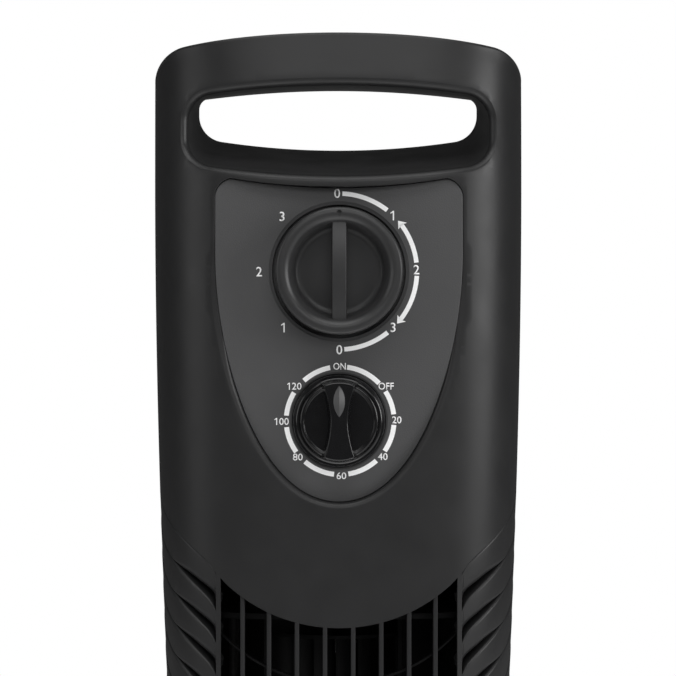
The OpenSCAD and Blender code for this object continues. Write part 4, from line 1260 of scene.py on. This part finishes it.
def finishes():
    """One finish for each material slot of the record, and three more for what shows, one of them a darker
    copy of the black plastic that paints shade on inner parts.
    """
    black = (0.015, 0.015, 0.0153)
    return {
        "shell_plastic": moulded_plastic("shell_plastic", black, 0.40),
        "black_plastic": moulded_plastic("base_plastic", black, 0.42),
        "louvre_plastic": moulded_plastic("louvre_plastic", black, 0.40),
        "grille_plastic": moulded_plastic("grille_plastic", (0.014, 0.014, 0.0145), 0.40),
        "panel_plastic": leather_grain("panel_plastic", (0.058, 0.058, 0.059), 0.48),
        "knob_plastic": moulded_plastic("dial_plastic", (0.026, 0.026, 0.0265), 0.36, 2000, 0.006),
        "gloss_plastic": polished_plastic("gloss_plastic", (0.006, 0.006, 0.0065)),
        "pointer_plastic": moulded_plastic("pointer_plastic", (0.055, 0.055, 0.056), 0.34, 2000, 0.004),
        "wheel_plastic": moulded_plastic("wheel_plastic", (0.008, 0.008, 0.0085), 0.5),
        # Painted shade: a darker, duller copy of the black plastic, for parts that sit in shadow inside the
        # column and behind the grille.
        "painted_shade_plastic": moulded_plastic("painted_shade_plastic", (0.0035, 0.0035, 0.0036), 0.6,
                                         specular=0.12),
        "natural_plastic": moulded_plastic("natural_nylon", (0.70, 0.68, 0.62), 0.38, grain=900),
        "foot_rubber": rubber("foot_rubber", (0.018, 0.018, 0.018)),
        "soft_rubber": rubber("soft_rubber", (0.014, 0.014, 0.014), 0.65),
        "zinc_steel": metal("zinc_plating", (0.62, 0.62, 0.60), 0.34),
        "plated_steel": metal("plated_sheet", (0.58, 0.59, 0.60), 0.30, (1, 1, 0.1)),
        "spring_steel": metal("ground_steel", (0.55, 0.55, 0.56), 0.22, (1, 1, 0.05)),
        "laminated_steel": banded("laminated_steel", (0.28, 0.28, 0.29), 1.0, 0.45, 2000, 0.06),
        "copper_wire": banded("copper_winding", (0.70, 0.36, 0.17), 0.9, 0.35, 1600, 0.12),
        "bronze": metal("sintered_bronze", (0.66, 0.49, 0.26), 0.5, grain=1600),
        "ink": ink("scale_ink", (0.86, 0.86, 0.86)),
    }


FINISH = finishes()
slot_of = {row["node"]: row["material_slot"] for row in frame["record"]["subparts"]}
# Parts deep inside the column get the painted-shade plastic in place of their own finish, which darkens them
# as shade.
IN_THE_DARK = ("duct_scroll", "duct_tongue", "duct_top_plate", "duct_bottom_plate",
               "blower_wheel", "column_foot")
for node_name, node_object in nodes.items():
    dark = node_name in IN_THE_DARK
    node_object.data.materials.clear()
    node_object.data.materials.append(FINISH["painted_shade_plastic" if dark else slot_of[node_name]])


def place(obj, body, slot_name, *replaced, finish=None):
    """Gives a finished piece its finish and its body, and hides the CAD nodes that it stands for."""
    obj.data.materials.clear()
    obj.data.materials.append(FINISH[finish or slot_name])
    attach(obj, body)
    if replaced:
        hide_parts(*replaced)


place(front_shell(), "column", "shell_plastic", "front_shell")
place(rear_shell(), "column", "shell_plastic", "rear_shell")
place(louvre(1), "column", "louvre_plastic", "louvre_right")
place(louvre(-1), "column", "louvre_plastic", "louvre_left")
place(grille(), "column", "grille_plastic", "front_grille")
# The ribs are the grille's own plastic, painted darker as shade behind the bars.
place(grille_ribs(), "column", "grille_plastic", finish="painted_shade_plastic")
place(control_plate(), "column", "panel_plastic", "control_panel")
place(speed_scale(), "column", "panel_plastic", finish="ink")
place(timer_scale(), "column", "panel_plastic", finish="ink")
place(speed_dial(), "speed_dial", "knob_plastic", "speed_knob")
place(timer_dial(), "timer_dial", "gloss_plastic", "timer_knob")
place(timer_pointer(), "timer_dial", "gloss_plastic", finish="pointer_plastic")
place(base_dome(), "base", "black_plastic", "base_cover")

# ---------------------------------------------------------------- stage, lights and camera


FLOOR_SIZE = (6.0, 4.6)
FLOOR_BACK = -0.2             # the floor's middle is this far from the axis
ROOM_LIGHT = 0.06
CAMERA_TURN = math.radians(0.42)
CAMERA_AWAY = 1.1
CAMERA_Z = 0.6
CAMERA_LENS = 124.3           # mm, on a sensor 36 mm wide


def floor():
    deselect()
    bpy.ops.mesh.primitive_plane_add(size=1, location=(0, 0, 0))
    obj = bpy.context.object
    for v in obj.data.vertices:
        v.co = (v.co.x * FLOOR_SIZE[0], v.co.y * FLOOR_SIZE[1] + FLOOR_BACK, 0)
    obj.name = "floor"
    mat, tree, shader, coords = material("pale_floor")
    tint(tree, shader, noise(tree, coords, 3, 4), (0.86, 0.86, 0.86), 0.02)
    gloss(tree, shader, noise(tree, coords, 9, 4), 0.55, 0.7)
    obj.data.materials.append(mat)


def softbox(name, place_at, aim, size, power):
    lamp = bpy.data.lights.new(name, "AREA")
    lamp.shape = "RECTANGLE"
    lamp.size, lamp.size_y = size
    lamp.energy = power
    obj = new_object(name, lamp)
    obj.location = place_at
    obj.rotation_euler = (Vector(aim) - Vector(place_at)).to_track_quat("-Z", "Y").to_euler()
    obj.visible_camera = False
    return obj


def studio():
    """White behind everything for the camera, and a dim even room for the plastic to reflect."""
    world = bpy.data.worlds.new("studio")
    bpy.context.scene.world = world
    world.use_nodes = True
    tree = world.node_tree
    tree.nodes.clear()
    room = add_node(tree, "Background", {"Color": (1, 1, 1, 1), "Strength": ROOM_LIGHT})
    white = add_node(tree, "Background", {"Color": (1, 1, 1, 1), "Strength": 1.0})
    mix, out = add_node(tree, "MixShader"), add_node(tree, "OutputWorld")
    link(tree, add_node(tree, "LightPath"), "Is Camera Ray", mix, "Fac")
    link(tree, room, 0, mix, 1)
    link(tree, white, 0, mix, 2)
    link(tree, mix, 0, out, "Surface")
    bpy.context.scene.view_settings.view_transform = "Standard"
    aim = (0, 0, 0.55)
    softbox("key_right", (1.75, -0.85, 1.0), aim, (0.9, 1.0), 22)
    softbox("side_left", (-1.7, -0.9, 1.0), aim, (0.9, 1.2), 7)
    softbox("front_high", (0.15, -1.9, 1.45), aim, (1.6, 0.6), 9.5)
    softbox("top_front", (0.0, -1.0, 2.2), aim, (1.6, 0.8), 17)
    softbox("low_front", (0.0, -0.33, 0.03), (0, -0.2, 0.72), (0.6, 0.35), 1.3)
    softbox("overhead", (0.0, 0.3, 2.6), aim, (1.6, 1.6), 11)


def camera():
    data = bpy.data.cameras.new("camera")
    data.lens = CAMERA_LENS
    data.sensor_width = 36
    obj = new_object("camera", data)
    obj.location = (-CAMERA_AWAY * math.sin(CAMERA_TURN), -CAMERA_AWAY * math.cos(CAMERA_TURN), CAMERA_Z)
    obj.rotation_euler = (math.radians(90), 0, -CAMERA_TURN)
    bpy.context.scene.camera = obj


floor()
studio()
camera()
